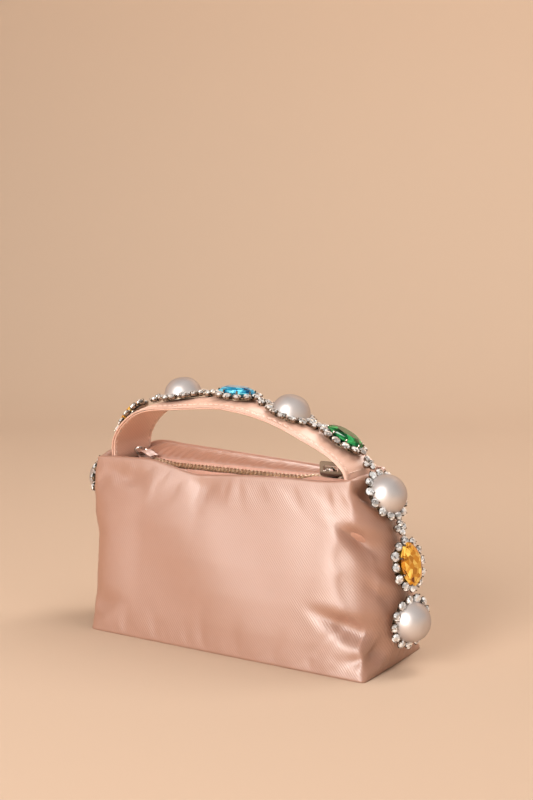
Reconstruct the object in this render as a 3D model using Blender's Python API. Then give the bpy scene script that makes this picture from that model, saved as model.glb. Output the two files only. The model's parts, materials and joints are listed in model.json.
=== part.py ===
"""Satin evening bag: boxy zip-top pouch, arched strap handle, pearl and crystal trim.

Metres, Z up. X runs along the bag, Y from front (-) to back (+), the floor is Z = 0.
The bag is soft and stands with a slight lean; LEAN and STRAP_LEAN set to 0 make it upright.
Dimensions below are in millimetres and are scaled once, where each mesh is made.
"""

import math

import bmesh
import bpy
from mathutils import Matrix, Vector

MM = 0.001
GAP = 0.3  # clearance left between neighbouring pieces

# Pouch
BASE_HALF_LENGTH = 85.0
BASE_HALF_DEPTH = 33.5
TOP_HALF_LENGTH = 78.6
TOP_HALF_DEPTH = 19.5
BODY_HEIGHT = 97.0
FRONT_TOP = 96.5
BACK_TOP = 98.5
GUSSET_TOP = 96.2
LEAN = -0.09  # sideways shift per unit of height
FACE_BULGE = 4.0
RIGHT_BULGE = 13.0
LEFT_BULGE = 5.0
LEFT_SHOULDER = 8.5
CLOTH = 1.2
LINING = 0.7
LINING_INSET = CLOTH + 0.8
LINING_TOP = 88.5

# Handle
STRAP_WIDTH = 34.6
STRAP_FOOT = 94.0
ARCH_HALF_SPAN = 74.0
ARCH_RISE = 33.5
ARCH_POWER = 1.22
STRAP_LEAN = -0.2
STRAP_LAYERS = (("handle_underside", 0.0, 0.8), ("handle_core", 1.0, 2.0), ("handle_strap", 2.2, 3.0))
STRAP_THICKNESS = 3.0

# Zip
ZIP_Z = 94.1  # middle height of the teeth
TOOTH_PITCH = 1.9
TOOTH_WIDTH = 0.8
TEETH = 61
TEETH_RIGHT_END = 47.0
TAPE_HALF_LENGTH = 70.0
FACING_HALF_LENGTH = 70.5
SLIDER_LEFT = 43.5
SLIDER_LENGTH = 9.0
PULL_PIVOT = (46.0, 0.0, 97.9)
RING_PIVOT = (-74.2, 0.0, 96.9)

# Trim
TRIM_MIDDLE = 2.0  # along the trim, from the top of the arch
TRIM_PITCH = 35.5
TRIM_END_PITCH = 30.0
PEARL_RADIUS = 10.0
PEARL_HEIGHT = 9.0
OVAL_HALF_LENGTH = 10.0
OVAL_HALF_WIDTH = 7.5
STONE_RADIUS = 2.15
STONE_OFFSET = 2.4  # from the rim of the centre stone to the middle of a halo stone
PLATE = 0.8
SEAT = 0.6  # clearance under a setting

MATERIALS = {
    "satin": ((0.80, 0.52, 0.42), 0.0, 0.38),
    "lining": ((0.74, 0.50, 0.42), 0.0, 0.60),
    "board": ((0.32, 0.29, 0.26), 0.0, 0.90),
    "zip_tape": ((0.82, 0.52, 0.44), 0.0, 0.75),
    "zip_metal": ((0.72, 0.70, 0.66), 1.0, 0.30),
    "polished_metal": ((0.80, 0.79, 0.77), 1.0, 0.12),
    "pearl": ((0.90, 0.88, 0.85), 0.0, 0.18),
    "clear_stone": ((0.86, 0.87, 0.88), 0.3, 0.08),
    "amber_crystal": ((0.85, 0.50, 0.06), 0.0, 0.05),
    "blue_crystal": ((0.02, 0.50, 0.72), 0.0, 0.05),
    "green_crystal": ((0.01, 0.38, 0.16), 0.0, 0.05),
}

# The trim from the foot of the left end, over the handle, to the foot of the right end.
TRIM_STONES = (
    "pearl", "green", "pearl", "amber", "pearl", "blue",
    "pearl", "green", "pearl", "amber", "pearl",
)


# ---------------------------------------------------------------- scene and materials


def clear_scene():
    """Removes whatever the scene starts with."""
    for obj in list(bpy.data.objects):
        bpy.data.objects.remove(obj, do_unlink=True)


def make_materials():
    made = {}
    for name, (color, metallic, roughness) in MATERIALS.items():
        material = bpy.data.materials.new(name)
        material.use_nodes = True
        shader = material.node_tree.nodes["Principled BSDF"]
        shader.inputs["Base Color"].default_value = (*color, 1.0)
        shader.inputs["Metallic"].default_value = metallic
        shader.inputs["Roughness"].default_value = roughness
        material.diffuse_color = (*color, 1.0)
        made[name] = material
    return made


def make_collections():
    bag = bpy.data.collections.new("evening_bag")
    cutters = bpy.data.collections.new("cutters")
    cutters.hide_render = True
    for collection in (bag, cutters):
        bpy.context.scene.collection.children.link(collection)
    return bag, cutters


def finish_mesh(name, work, material, collection=None):
    """An object from a bmesh in millimetres, normals outwards."""
    bmesh.ops.remove_doubles(work, verts=work.verts, dist=1e-4)
    bmesh.ops.recalc_face_normals(work, faces=work.faces)
    bmesh.ops.scale(work, vec=(MM, MM, MM), verts=work.verts)
    mesh = bpy.data.meshes.new(name)
    work.to_mesh(mesh)
    work.free()
    mesh.materials.append(material)
    obj = bpy.data.objects.new(name, mesh)
    (collection or BAG).objects.link(obj)
    return obj


# ---------------------------------------------------------------- the shape of the bag


def lean_x(z):
    if z <= BODY_HEIGHT:
        return LEAN * z
    return LEAN * BODY_HEIGHT + STRAP_LEAN * (z - BODY_HEIGHT)


def half_length(z):
    return BASE_HALF_LENGTH + (TOP_HALF_LENGTH - BASE_HALF_LENGTH) * z / BODY_HEIGHT


def half_depth(z):
    return BASE_HALF_DEPTH + (TOP_HALF_DEPTH - BASE_HALF_DEPTH) * z / BODY_HEIGHT


def swell(z, power):
    """0 at the base and at the top, 1 half way up; a higher power is fuller near the ends."""
    return max(0.0, 1.0 - abs(2.0 * z / BODY_HEIGHT - 1.0) ** power)


def end_bulge(side, z):
    swell_here = swell(z, 2.4)
    if side > 0:
        return RIGHT_BULGE * swell_here
    shoulder = math.exp(-(((z - 83.0) / 10.0) ** 2)) * min(1.0, (BODY_HEIGHT - z) / 9.0)
    return LEFT_BULGE * swell_here + LEFT_SHOULDER * max(shoulder, 0.0)


def end_x(side, y, z, inset=0.0):
    """X of the outer face of the left (-1) or right (1) gusset, moved in by inset."""
    across = 1.0 - (y / half_depth(z)) ** 2
    return lean_x(z) + side * (half_length(z) + end_bulge(side, z) * across - inset)


def face_y(side, along, z, inset=0.0):
    """Y of the outer face of the front (-1) or back (1) panel, along being -1 to 1."""
    bulge = FACE_BULGE * (1.0 - along * along) * swell(z, 2.0)
    return side * (half_depth(z) + bulge - inset)


def arch_points(offset, count=49):
    """(x, z) along the handle from its right foot over the top to its left foot.

    offset moves the line outwards from the underside of the strap.
    """
    line = []
    for i in range(count):
        turn = math.pi * i / (count - 1)
        z = BODY_HEIGHT + ARCH_RISE * math.sin(turn) ** ARCH_POWER
        line.append(Vector((lean_x(z) + ARCH_HALF_SPAN * math.cos(turn), z)))
    line[0].y = BODY_HEIGHT
    line[-1].y = BODY_HEIGHT
    line.insert(0, Vector((line[0].x, STRAP_FOOT)))
    line.append(Vector((line[-1].x, STRAP_FOOT)))
    moved = []
    for i, point in enumerate(line):
        ahead = line[min(i + 1, len(line) - 1)] - line[max(i - 1, 0)]
        ahead.normalize()
        moved.append(point + Vector((ahead.y, -ahead.x)) * offset)
    return moved


def even_line(points, step):
    """The same line with its points evenly spaced, and the length of each step."""
    lengths = [0.0]
    for a, b in zip(points, points[1:]):
        lengths.append(lengths[-1] + (b - a).length)
    count = round(lengths[-1] / step)
    line = []
    j = 0
    for i in range(count + 1):
        target = lengths[-1] * i / count
        while j < len(lengths) - 2 and lengths[j + 1] < target:
            j += 1
        share = (target - lengths[j]) / (lengths[j + 1] - lengths[j])
        line.append(points[j].lerp(points[j + 1], share))
    return line, lengths[-1] / count


def trim_line():
    """The line the trim follows, from the right foot to the left foot, and its step."""
    down = [z * 1.0 for z in range(6, 93)]
    right = [Vector((end_x(1, 0.0, z), z)) for z in down]
    left = [Vector((end_x(-1, 0.0, z), z)) for z in reversed(down)]
    arch = [p for p in arch_points(STRAP_THICKNESS) if p.y > BODY_HEIGHT + 4.0]
    line, step = even_line(right + arch + left, 1.0)
    reach = 11
    smooth = []
    for i in range(len(line)):
        near = min(i, len(line) - 1 - i, reach)
        group = line[i - near : i + near + 1]
        smooth.append(sum(group, Vector((0.0, 0.0))) / len(group))
    return even_line(smooth, 1.0)


# ---------------------------------------------------------------- mesh builders


def slab(name, point, across, up, material):
    """A closed sheet: point(u, v, w) gives its outer (w = 0) and inner (w = 1) faces."""
    work = bmesh.new()
    layers = []
    for w in (0, 1):
        layers.append(
            [
                [work.verts.new(point(i / across, j / up, w)) for j in range(up + 1)]
                for i in range(across + 1)
            ]
        )
    for layer in layers:
        for i in range(across):
            for j in range(up):
                work.faces.new((layer[i][j], layer[i + 1][j], layer[i + 1][j + 1], layer[i][j + 1]))
    outer, inner = layers
    for i in range(across):
        for j in (0, up):
            work.faces.new((outer[i][j], outer[i + 1][j], inner[i + 1][j], inner[i][j]))
    for j in range(up):
        for i in (0, across):
            work.faces.new((outer[i][j], outer[i][j + 1], inner[i][j + 1], inner[i][j]))
    return finish_mesh(name, work, material)


def box(name, low, high, material, collection=None):
    work = bmesh.new()
    bmesh.ops.create_cube(work, size=1.0)
    for vert in work.verts:
        for axis in range(3):
            share = vert.co[axis] + 0.5
            vert.co[axis] = low[axis] + (high[axis] - low[axis]) * share
    return finish_mesh(name, work, material, collection)


def prism(name, outline, z_low, z_high, material, collection=None):
    """The outline, (x, y) points, extruded in Z."""
    work = bmesh.new()
    low = [work.verts.new((x, y, z_low)) for x, y in outline]
    high = [work.verts.new((x, y, z_high)) for x, y in outline]
    work.faces.new(low)
    work.faces.new(high)
    for i in range(len(outline)):
        j = (i + 1) % len(outline)
        work.faces.new((low[i], low[j], high[j], high[i]))
    return finish_mesh(name, work, material, collection)


def add_rings(work, rings):
    """Closes a stack of rings of equal count into one solid, capped at both ends."""
    made = [[work.verts.new(p) for p in ring] for ring in rings]
    for a, b in zip(made, made[1:]):
        for i in range(len(a)):
            j = (i + 1) % len(a)
            work.faces.new((a[i], a[j], b[j], b[i]))
    work.faces.new(made[0])
    work.faces.new(made[-1])


def oval_ring(half_x, half_y, z, count, turn=0.0, middle=(0.0, 0.0)):
    ring = []
    for i in range(count):
        angle = 2.0 * math.pi * (i + turn) / count
        x = middle[0] + half_x * math.cos(angle)
        ring.append(Vector((x, middle[1] + half_y * math.sin(angle), z)))
    return ring


def combine(target, other, operation="UNION"):
    """Applies an exact Boolean and removes the other object."""
    modifier = target.modifiers.new("combine", "BOOLEAN")
    modifier.operation = operation
    modifier.solver = "EXACT"
    modifier.object = other
    graph = bpy.context.evaluated_depsgraph_get()
    mesh = bpy.data.meshes.new_from_object(target.evaluated_get(graph))
    target.modifiers.clear()
    old = target.data
    target.data = mesh
    mesh.name = target.name
    bpy.data.meshes.remove(old)
    bpy.data.objects.remove(other, do_unlink=True)
    return target


def tube_loop(name, points, radius, sides, material):
    """A round bar bent round the closed loop of points, which lies in one plane."""
    work = bmesh.new()
    count = len(points)
    normal = sum((points[i - 1].cross(points[i]) for i in range(count)), Vector())
    normal.normalize()
    rings = []
    for i, point in enumerate(points):
        ahead = (points[(i + 1) % count] - points[i - 1]).normalized()
        aside = ahead.cross(normal)
        ring = []
        for k in range(sides):
            angle = 2.0 * math.pi * k / sides
            reach = aside * math.cos(angle) + normal * math.sin(angle)
            ring.append(work.verts.new(point + reach * radius))
        rings.append(ring)
    for i in range(count):
        a, b = rings[i], rings[(i + 1) % count]
        for k in range(sides):
            m = (k + 1) % sides
            work.faces.new((a[k], a[m], b[m], b[k]))
    return finish_mesh(name, work, material)


# ---------------------------------------------------------------- the pouch


def wall(name, side, z_low, z_high, inset, thickness, half_along, material):
    """A front (-1) or back (1) sheet, half_along(z) being half its length."""

    def point(u, v, w):
        z = z_low + (z_high - z_low) * v
        x = (2.0 * u - 1.0) * half_along(z)
        y = face_y(side, x / half_length(z), z, inset + w * thickness)
        return (lean_x(z) + x, y, z)

    return slab(name, point, 8, 6, material)


def end_wall(name, side, z_low, z_high, inset, thickness, edge_gap, material):
    """A gusset sheet, its front and back edges edge_gap inside the body."""

    def point(u, v, w):
        z = z_low + (z_high - z_low) * v
        y = (2.0 * u - 1.0) * (half_depth(z) - edge_gap)
        return (end_x(side, y, z, inset + w * thickness), y, z)

    return slab(name, point, 8, 12, material)


def make_pouch(mats):
    satin, lining = mats["satin"], mats["lining"]
    wall("front_panel", -1, 0.0, FRONT_TOP, 0.0, CLOTH, half_length, satin)
    wall("back_panel", 1, 0.0, BACK_TOP, 0.0, CLOTH, half_length, satin)
    end_wall("left_gusset", -1, 0.0, GUSSET_TOP, 0.0, CLOTH, CLOTH + GAP, satin)
    end_wall("right_gusset", 1, 0.0, GUSSET_TOP, 0.0, CLOTH, CLOTH + GAP, satin)

    inner = LINING_INSET + LINING
    low = 3.2

    def lining_half(z):
        return half_length(z) - CLOTH - 0.5

    wall("lining_front", -1, low, LINING_TOP, LINING_INSET, LINING, lining_half, lining)
    wall("lining_back", 1, low, LINING_TOP, LINING_INSET, LINING, lining_half, lining)
    for name, side in (("lining_left", -1), ("lining_right", 1)):
        end_wall(name, side, low, LINING_TOP, LINING_INSET, LINING, inner + 0.5, lining)
    wall("slip_pocket", 1, 26.0, 70.0, inner + GAP, 0.6, lambda z: 45.0, lining)

    box("base_panel", (-83.4, -31.9, 0.0), (83.4, 31.9, 1.0), satin)
    box("base_board", (-82.9, -31.3, 1.3), (82.9, 31.3, 2.9), mats["board"])
    box("lining_base", (-81.6, -30.0, 3.2), (81.6, 30.0, 3.9), lining)


# ---------------------------------------------------------------- the zip


def strip(name, half_along, outer_edge, inner_edge, thickness, material):
    """A sheet along the mouth between two (y, z) edges, thickness downwards."""

    def point(u, v, w):
        y = outer_edge[0] + (inner_edge[0] - outer_edge[0]) * v
        z = outer_edge[1] + (inner_edge[1] - outer_edge[1]) * v - w * thickness
        return (lean_x(95.0) + (2.0 * u - 1.0) * half_along, y, z)

    return slab(name, point, 10, 2, material)


def comb_outline(side):
    """One side of the zip's teeth, a spine with a tooth every pitch."""
    spine_out, spine_in, tip = side * 3.0, side * 1.9, side * -0.9
    shift = 0.0 if side < 0 else TOOTH_PITCH / 2.0
    right = TEETH_RIGHT_END - shift
    outline = [(right, spine_out)]
    for i in range(TEETH):
        start = right - i * TOOTH_PITCH
        outline += [(start, tip), (start - TOOTH_WIDTH, tip)]
        outline += [(start - TOOTH_WIDTH, spine_in)]
        if i < TEETH - 1:
            outline += [(start - TOOTH_PITCH, spine_in)]
    outline += [(outline[-1][0], spine_out)]
    return outline


def make_slider(mats):
    metal = mats["polished_metal"]
    x0, x1 = SLIDER_LEFT, SLIDER_LEFT + SLIDER_LENGTH
    low, high = ZIP_Z - 1.5, ZIP_Z + 1.5
    slider = box("zip_slider", (x0, -4.3, high), (x1, 4.3, high + 0.9), metal)
    parts = [
        box("slider_bottom", (x0, -4.3, low - 0.9), (x1, 4.3, low), metal, CUTTERS),
        box("slider_post", (x1 - 3.4, -0.8, low - 0.4), (x1 - 0.6, 0.8, high + 0.4), metal, CUTTERS),
    ]
    arch = [(x0 - 0.2, 0.4), (x0 - 0.2, 4.2), (x1 - 3.3, 4.2), (x1 - 2.0, 2.8), (x1 - 2.0, 0.4)]
    arch += [(x1 - 3.3, 0.4), (x1 - 3.3, 2.6), (x1 - 4.0, 3.2), (x0 + 0.9, 3.2), (x0 + 0.9, 0.4)]
    bridge = prism("slider_bridge", arch, -0.9, 0.9, metal, CUTTERS)
    stand = Matrix.Translation((0.0, 0.0, high * MM)) @ Matrix.Rotation(math.pi / 2, 4, "X")
    bridge.data.transform(stand)
    for piece in [*parts, bridge]:
        combine(slider, piece)


def make_pull(mats):
    """A rectangular pull on a crossbar that passes under the slider's bridge."""
    metal = mats["polished_metal"]
    x, y, z = PULL_PIVOT
    pull = box("zip_pull", (x - 1.2, y - 7.6, z - 1.2), (x + 12.0, y - 6.4, z + 5.8), metal)
    work = bmesh.new()
    rings = []
    for at in (y - 7.0, y + 1.9):
        ring = oval_ring(0.55, 0.55, 0.0, 10)
        rings.append([Vector((x + p.x, at, z + p.y)) for p in ring])
    add_rings(work, rings)
    combine(pull, finish_mesh("pull_bar", work, metal, CUTTERS))
    pull.data.transform(Matrix.Translation((-x * MM, -y * MM, -z * MM)))
    pull.location = (x * MM, y * MM, z * MM)


def make_zip(mats):
    satin, tape, metal = mats["satin"], mats["zip_tape"], mats["zip_metal"]
    strip("front_facing", FACING_HALF_LENGTH, (-17.9, 96.3), (-7.0, 95.4), 0.8, satin)
    strip("back_facing", FACING_HALF_LENGTH, (17.5, 98.2), (7.0, 95.4), 0.8, satin)
    strip("zip_tape_front", TAPE_HALF_LENGTH, (-12.5, ZIP_Z), (-3.4, ZIP_Z), 0.5, tape)
    strip("zip_tape_back", TAPE_HALF_LENGTH, (12.5, ZIP_Z), (3.4, ZIP_Z), 0.5, tape)
    for name, side in (("zip_teeth_front", -1), ("zip_teeth_back", 1)):
        prism(name, comb_outline(side), ZIP_Z - 1.1, ZIP_Z + 1.1, metal)
    left_end = TEETH_RIGHT_END - TEETH * TOOTH_PITCH
    box("zip_bottom_stop", (left_end - 2.0, -1.8, ZIP_Z - 1.1), (left_end - 0.4, 1.8, ZIP_Z + 1.1), metal)
    stop = SLIDER_LEFT + SLIDER_LENGTH + 0.8
    for name, side in (("zip_top_stop_front", -1), ("zip_top_stop_back", 1)):
        near, far = sorted((side * 1.1, side * 3.1))
        box(name, (stop, near, ZIP_Z - 1.0), (stop + 1.5, far, ZIP_Z + 1.0), metal)
    make_slider(mats)
    make_pull(mats)


def make_ring(mats):
    """A small D-ring on a folded tab at the left end of the zip."""
    x, _, z = RING_PIVOT
    tab = box("ring_tab", (x - 2.0, -4.0, ZIP_Z + 1.5), (x + 7.0, 4.0, z + 2.0), mats["satin"])
    work = bmesh.new()
    ring = oval_ring(1.15, 1.15, 0.0, 12)
    add_rings(work, [[Vector((x + p.x, at, z + p.y)) for p in ring] for at in (-6.0, 6.0)])
    combine(tab, finish_mesh("tab_hole", work, mats["satin"], CUTTERS), "DIFFERENCE")

    rise = math.radians(30.0)
    reach = Vector((-math.cos(rise), 0.0, math.sin(rise)))
    corners = [(0.0, -5.0), (0.0, -2.5), (0.0, 0.0), (0.0, 2.5), (0.0, 5.0)]
    for i in range(1, 8):
        angle = math.pi * i / 8
        corners.append((1.2 + 4.8 * math.sin(angle) ** 0.6, 5.0 * math.cos(angle)))
    points = [reach * out + Vector((0.0, y, 0.0)) for out, y in corners]
    d_ring = tube_loop("d_ring", points, 0.75, 8, mats["polished_metal"])
    d_ring.location = tuple(v * MM for v in RING_PIVOT)


# ---------------------------------------------------------------- the handle


def make_handle(mats):
    surfaces = {"handle_underside": "satin", "handle_core": "board", "handle_strap": "satin"}
    for name, inner, outer in STRAP_LAYERS:
        lines = [even_line(arch_points(offset), 4.0)[0] for offset in (outer, inner)]
        count = min(len(line) for line in lines) - 1
        half = STRAP_WIDTH / 2.0 - (1.0 if name == "handle_core" else 0.0)

        def point(u, v, w):
            line = lines[w]
            place = u * (len(line) - 1)
            i = min(int(place), len(line) - 2)
            at = line[i].lerp(line[i + 1], place - i)
            return (at.x, (2.0 * v - 1.0) * half, at.y)

        slab(name, point, count, 2, mats[surfaces[name]])


# ---------------------------------------------------------------- the trim


def halo_spots(half_x, half_y, count):
    """Evenly spaced (x, y) places round an oval, starting at its right end."""
    fine = oval_ring(half_x, half_y, 0.0, 360)
    line, _ = even_line([p.to_2d() for p in fine + fine[:1]], 0.25)
    return [line[round(i * (len(line) - 1) / count)] for i in range(count)]


def stones_mesh(spots, radius, material):
    """Cups with a cut stone in each, all in one object, as a helper for a union."""
    work = bmesh.new()
    for spot in spots:
        rings = [
            oval_ring(radius, radius, 0.1, 6, 0.5, spot),
            oval_ring(radius, radius, 1.8, 6, 0.5, spot),
            oval_ring(radius * 0.55, radius * 0.55, 2.7, 6, 0.5, spot),
        ]
        add_rings(work, rings)
    return finish_mesh("stones", work, material, CUTTERS)


def make_setting(name, half_x, half_y, spots, radius, material):
    """A backing plate with a stone at every spot, as one body, lying on Z = 0."""
    work = bmesh.new()
    add_rings(work, [oval_ring(half_x, half_y, z, 24) for z in (0.0, PLATE)])
    plate = finish_mesh(name, work, material)
    return combine(plate, stones_mesh(spots, radius, material))


def pearl_mesh(material):
    work = bmesh.new()
    rings = []
    steps = 5
    for i in range(steps):
        angle = 0.5 * math.pi * i / steps
        reach = PEARL_RADIUS * math.cos(angle)
        rings.append(oval_ring(reach, reach, PEARL_HEIGHT * math.sin(angle), 18))
    rings.append(oval_ring(1.2, 1.2, PEARL_HEIGHT, 18))
    add_rings(work, rings)
    return finish_mesh("pearl", work, material)


def crystal_mesh(name, material):
    """A cut oval stone: narrow below, widest at the girdle, flat on top."""
    work = bmesh.new()
    cut = ((0.62, 0.0, 0.0), (0.97, 1.9, 0.0), (1.0, 2.4, 0.0), (0.86, 3.4, 0.5), (0.58, 4.3, 0.0))
    rings = []
    for share, z, turn in cut:
        rings.append(oval_ring(OVAL_HALF_LENGTH * share, OVAL_HALF_WIDTH * share, z, 16, turn))
    add_rings(work, rings)
    return finish_mesh(name, work, material)


def surface_samples():
    """(x, z) points of what the trim lies on: the strap, and the crown of each end."""
    samples = list(arch_points(STRAP_THICKNESS))
    for side in (-1, 1):
        for z in range(1, 97):
            samples.append(Vector((end_x(side, 0.0, float(z)), float(z))))
    return samples


def seat_matrix(line, step, start, position, reach, samples):
    """Places a setting on the trim line: its X along the line, its Z outwards."""
    i = round((start - position) / step)
    at = line[i]
    along = (line[i + 5] - line[i - 5]).normalized()
    out = Vector((along.y, -along.x))
    lift = max((p - at).dot(out) for p in samples if (p - at).length < reach)
    at = at + out * (lift + SEAT)
    matrix = Matrix.Identity(4)
    matrix.col[0][:3] = (along.x, 0.0, along.y)
    matrix.col[2][:3] = (out.x, 0.0, out.y)
    matrix.col[1][:3] = Vector(matrix.col[2][:3]).cross(Vector(matrix.col[0][:3]))
    matrix.translation = (at.x * MM, 0.0, at.y * MM)
    return matrix


def place(source, name, matrix, lift=0.0):
    obj = bpy.data.objects.new(name, source.data.copy())
    obj.data.transform(Matrix.Translation((0.0, 0.0, lift * MM)))
    obj.matrix_world = matrix
    BAG.objects.link(obj)


def trim_positions():
    """Where each setting's middle is along the trim, from the left foot to the right."""
    inner = [TRIM_MIDDLE + TRIM_PITCH * i for i in range(-4, 5)]
    return [inner[0] - TRIM_END_PITCH, *inner, inner[-1] + TRIM_END_PITCH]


def make_trim(mats):
    clear = mats["clear_stone"]
    rim = PEARL_RADIUS + STONE_OFFSET
    oval_x, oval_y = OVAL_HALF_LENGTH + STONE_OFFSET, OVAL_HALF_WIDTH + STONE_OFFSET
    sources = {
        "round": make_setting("round", rim, rim, halo_spots(rim, rim, 14), STONE_RADIUS, clear),
        "oval": make_setting("oval", oval_x, oval_y, halo_spots(oval_x, oval_y, 12), STONE_RADIUS, clear),
        "pair": make_setting("pair", 2.2, 4.3, [(0.0, -2.3), (0.0, 2.3)], 1.95, clear),
        "pearl": pearl_mesh(mats["pearl"]),
    }
    for color in ("amber", "blue", "green"):
        sources[color] = crystal_mesh(color, mats[color + "_crystal"])

    line, step = trim_line()
    samples = surface_samples()
    top = max(range(len(line)), key=lambda i: line[i].y)
    start = top * step
    positions = trim_positions()
    for number, (kind, position) in enumerate(zip(TRIM_STONES, positions), 1):
        matrix = seat_matrix(line, step, start, position, 17.0, samples)
        halo = "round" if kind == "pearl" else "oval"
        place(sources[halo], f"halo_{number}", matrix)
        name = f"pearl_{number}" if kind == "pearl" else f"crystal_{number}_{kind}"
        place(sources[kind], name, matrix, PLATE + GAP)
    for number in range(2, 10):
        middle = (positions[number - 1] + positions[number]) / 2.0
        matrix = seat_matrix(line, step, start, middle, 8.0, samples)
        place(sources["pair"], f"link_{number}_{number + 1}", matrix)
    for source in sources.values():
        bpy.data.objects.remove(source, do_unlink=True)


clear_scene()
BAG, CUTTERS = make_collections()
MATS = make_materials()
make_pouch(MATS)
make_zip(MATS)
make_ring(MATS)
make_handle(MATS)
make_trim(MATS)
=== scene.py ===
"""Looks of the satin evening bag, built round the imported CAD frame.

Lengths are in millimetres unless a name says otherwise; meshes are scaled once, in new_piece.
X runs along the bag, Y from front (-) to back (+), the floor is Z = 0.
"""

import json
import math
import random

import bmesh
import bpy
import numpy as np
from mathutils import Matrix, Vector
from mathutils.bvhtree import BVHTree

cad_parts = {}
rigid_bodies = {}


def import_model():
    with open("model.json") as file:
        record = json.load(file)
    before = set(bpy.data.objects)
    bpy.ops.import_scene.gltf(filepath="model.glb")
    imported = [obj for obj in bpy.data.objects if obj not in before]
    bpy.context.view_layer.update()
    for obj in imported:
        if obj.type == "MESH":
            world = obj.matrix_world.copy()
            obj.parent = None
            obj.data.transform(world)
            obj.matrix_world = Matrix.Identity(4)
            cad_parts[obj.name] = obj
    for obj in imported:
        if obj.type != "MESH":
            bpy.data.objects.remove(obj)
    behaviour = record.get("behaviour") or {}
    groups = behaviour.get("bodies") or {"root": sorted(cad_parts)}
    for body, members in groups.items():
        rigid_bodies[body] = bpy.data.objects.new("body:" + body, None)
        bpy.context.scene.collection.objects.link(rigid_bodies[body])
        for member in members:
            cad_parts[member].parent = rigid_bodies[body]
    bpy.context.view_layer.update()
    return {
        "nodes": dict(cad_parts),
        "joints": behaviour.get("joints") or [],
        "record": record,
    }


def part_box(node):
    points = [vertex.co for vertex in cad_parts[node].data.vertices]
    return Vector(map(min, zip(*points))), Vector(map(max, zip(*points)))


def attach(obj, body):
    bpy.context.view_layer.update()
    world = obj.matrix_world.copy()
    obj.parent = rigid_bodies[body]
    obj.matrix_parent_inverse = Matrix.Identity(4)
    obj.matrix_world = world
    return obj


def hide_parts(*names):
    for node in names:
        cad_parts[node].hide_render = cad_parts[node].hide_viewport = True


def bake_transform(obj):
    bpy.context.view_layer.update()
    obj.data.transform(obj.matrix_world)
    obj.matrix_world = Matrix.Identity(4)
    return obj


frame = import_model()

MM = 0.001

# Pouch shell
COLUMNS = 128  # grid columns along each half of the shell
ROWS = 50
CLOTH = 0.6  # thickness of the visible satin
FINE_STEP = 0.5
SHARP_CORNER = 1.3  # smoothing of the outline at the base and the mouth
SOFT_CORNER = 6.5  # and half way up
# the front edge of the mouth sags left of its middle: x and height
FRONT_EDGE = (
    (-96, 95.2), (-84, 96.6), (-70, 97.6), (-55, 98.0), (-42, 95.2), (-26, 91.7), (-11, 93.0),
    (8, 94.5), (30, 95.4), (52, 95.4), (62, 96.2), (68, 97.6), (100, 97.8),
)
BACK_SLOPE = -0.052  # the back edge of the mouth rises to the left
HEM_RADIUS = 1.3

# Handle
STRAP_HALF_WIDTH = 17.9
STITCH_INSET = 2.6
FOOT_SEAM = 100.0  # height of the row of stitches across each foot
STITCH_LENGTH = 2.3
STITCH_GAP = 1.0

# Zip
ZIP_TILT = math.radians(21.0)  # where the mouth sags, the zip turns this much to the front
ZIP_DROP = 2.6  # and hangs this much lower
TOOTH_PITCH = 2.4
TOOTH_HEIGHT = 2.5

# Trim
STONE_RADIUS = 2.5
HALO_STONES = {"round": 13, "oval": 12}
# how each setting sits on the soft cloth: number, degrees to the front, mm forward, out and along the trim
TRIM_LEAN = (
    (1, 0, 1, 0.3, 0), (2, 0, 0, 0.0, 0), (3, 0, 2.5, -0.8, 1.5), (4, 2, 0, 0.2, 1), (5, 0, 0, -1.3, 3),
    (6, 0, 0, -1.2, 2.5), (7, -3, 0, -2.0, 1.5), (8, -5, -2.5, -0.6, 0), (9, 9, 1, 1.0, 0.5),
    (10, 15, 2.5, 1.8, 0.5), (11, 16, 3, 1.0, -1.5),
)

# Stage, in metres and degrees
CAMERA_PLACE = (0.3466, -0.5447, 0.2022)
CAMERA_TILT = 83.8
CAMERA_TURN = 31.88  # about Z; the paper sweep is turned with it
CAMERA_LENS = 54.24
# name, place, target, size, power, colour, whether shiny things reflect it
SOFTBOXES = (
    ("key", (-0.08, -1.3, 0.6), (0.0, 0.0, 0.06), (0.6, 0.95), 22.5, (1.0, 0.975, 0.95), True),
    ("right_fill", (1.3, -0.5, 0.55), (0.0, 0.0, 0.08), (0.9, 0.9), 2.5, (1.0, 0.96, 0.93), False),
    ("overhead", (0.45, -0.25, 1.5), (0.0, 0.0, 0.0), (1.0, 1.0), 6.0, (1.0, 0.97, 0.94), False),
    ("back_wash", (0.6, 0.9, 2.0), (-0.5, 1.4, 0.4), (1.6, 0.8), 36.0, (1.0, 0.99, 0.97), False),
    ("rear", (-0.1, 1.0, 0.75), (0.02, 0.0, 0.1), (0.9, 0.6), 11.0, (1.0, 0.97, 0.95), True),
)

SIDES = (("front", -1.0), ("back", 1.0))


# ---------------------------------------------------------------- measuring the frame


def cad_points(node):
    """The corners of a CAD node at rest, in millimetres."""
    mesh = frame["nodes"][node].data
    return np.array([v.co for v in mesh.vertices]) / MM


def cad_box(node):
    low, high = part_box(node)
    return np.array(low) / MM, np.array(high) / MM


def cad_tree(*nodes):
    points, faces = [], []
    for node in nodes:
        mesh = frame["nodes"][node].data
        base = len(points)
        points += [v.co / MM for v in mesh.vertices]
        faces += [[base + i for i in p.vertices] for p in mesh.polygons]
    return BVHTree.FromPolygons(points, faces)


def smooth_closed(points, sigma, step):
    """A closed line with its corners rounded by a Gaussian of sigma along it."""
    count = len(points)
    turns = np.fft.rfftfreq(count, d=step)
    keep = np.exp(-2.0 * (math.pi * sigma * turns) ** 2)
    return np.stack([np.fft.irfft(np.fft.rfft(p) * keep, count) for p in points.T], axis=1)


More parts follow.
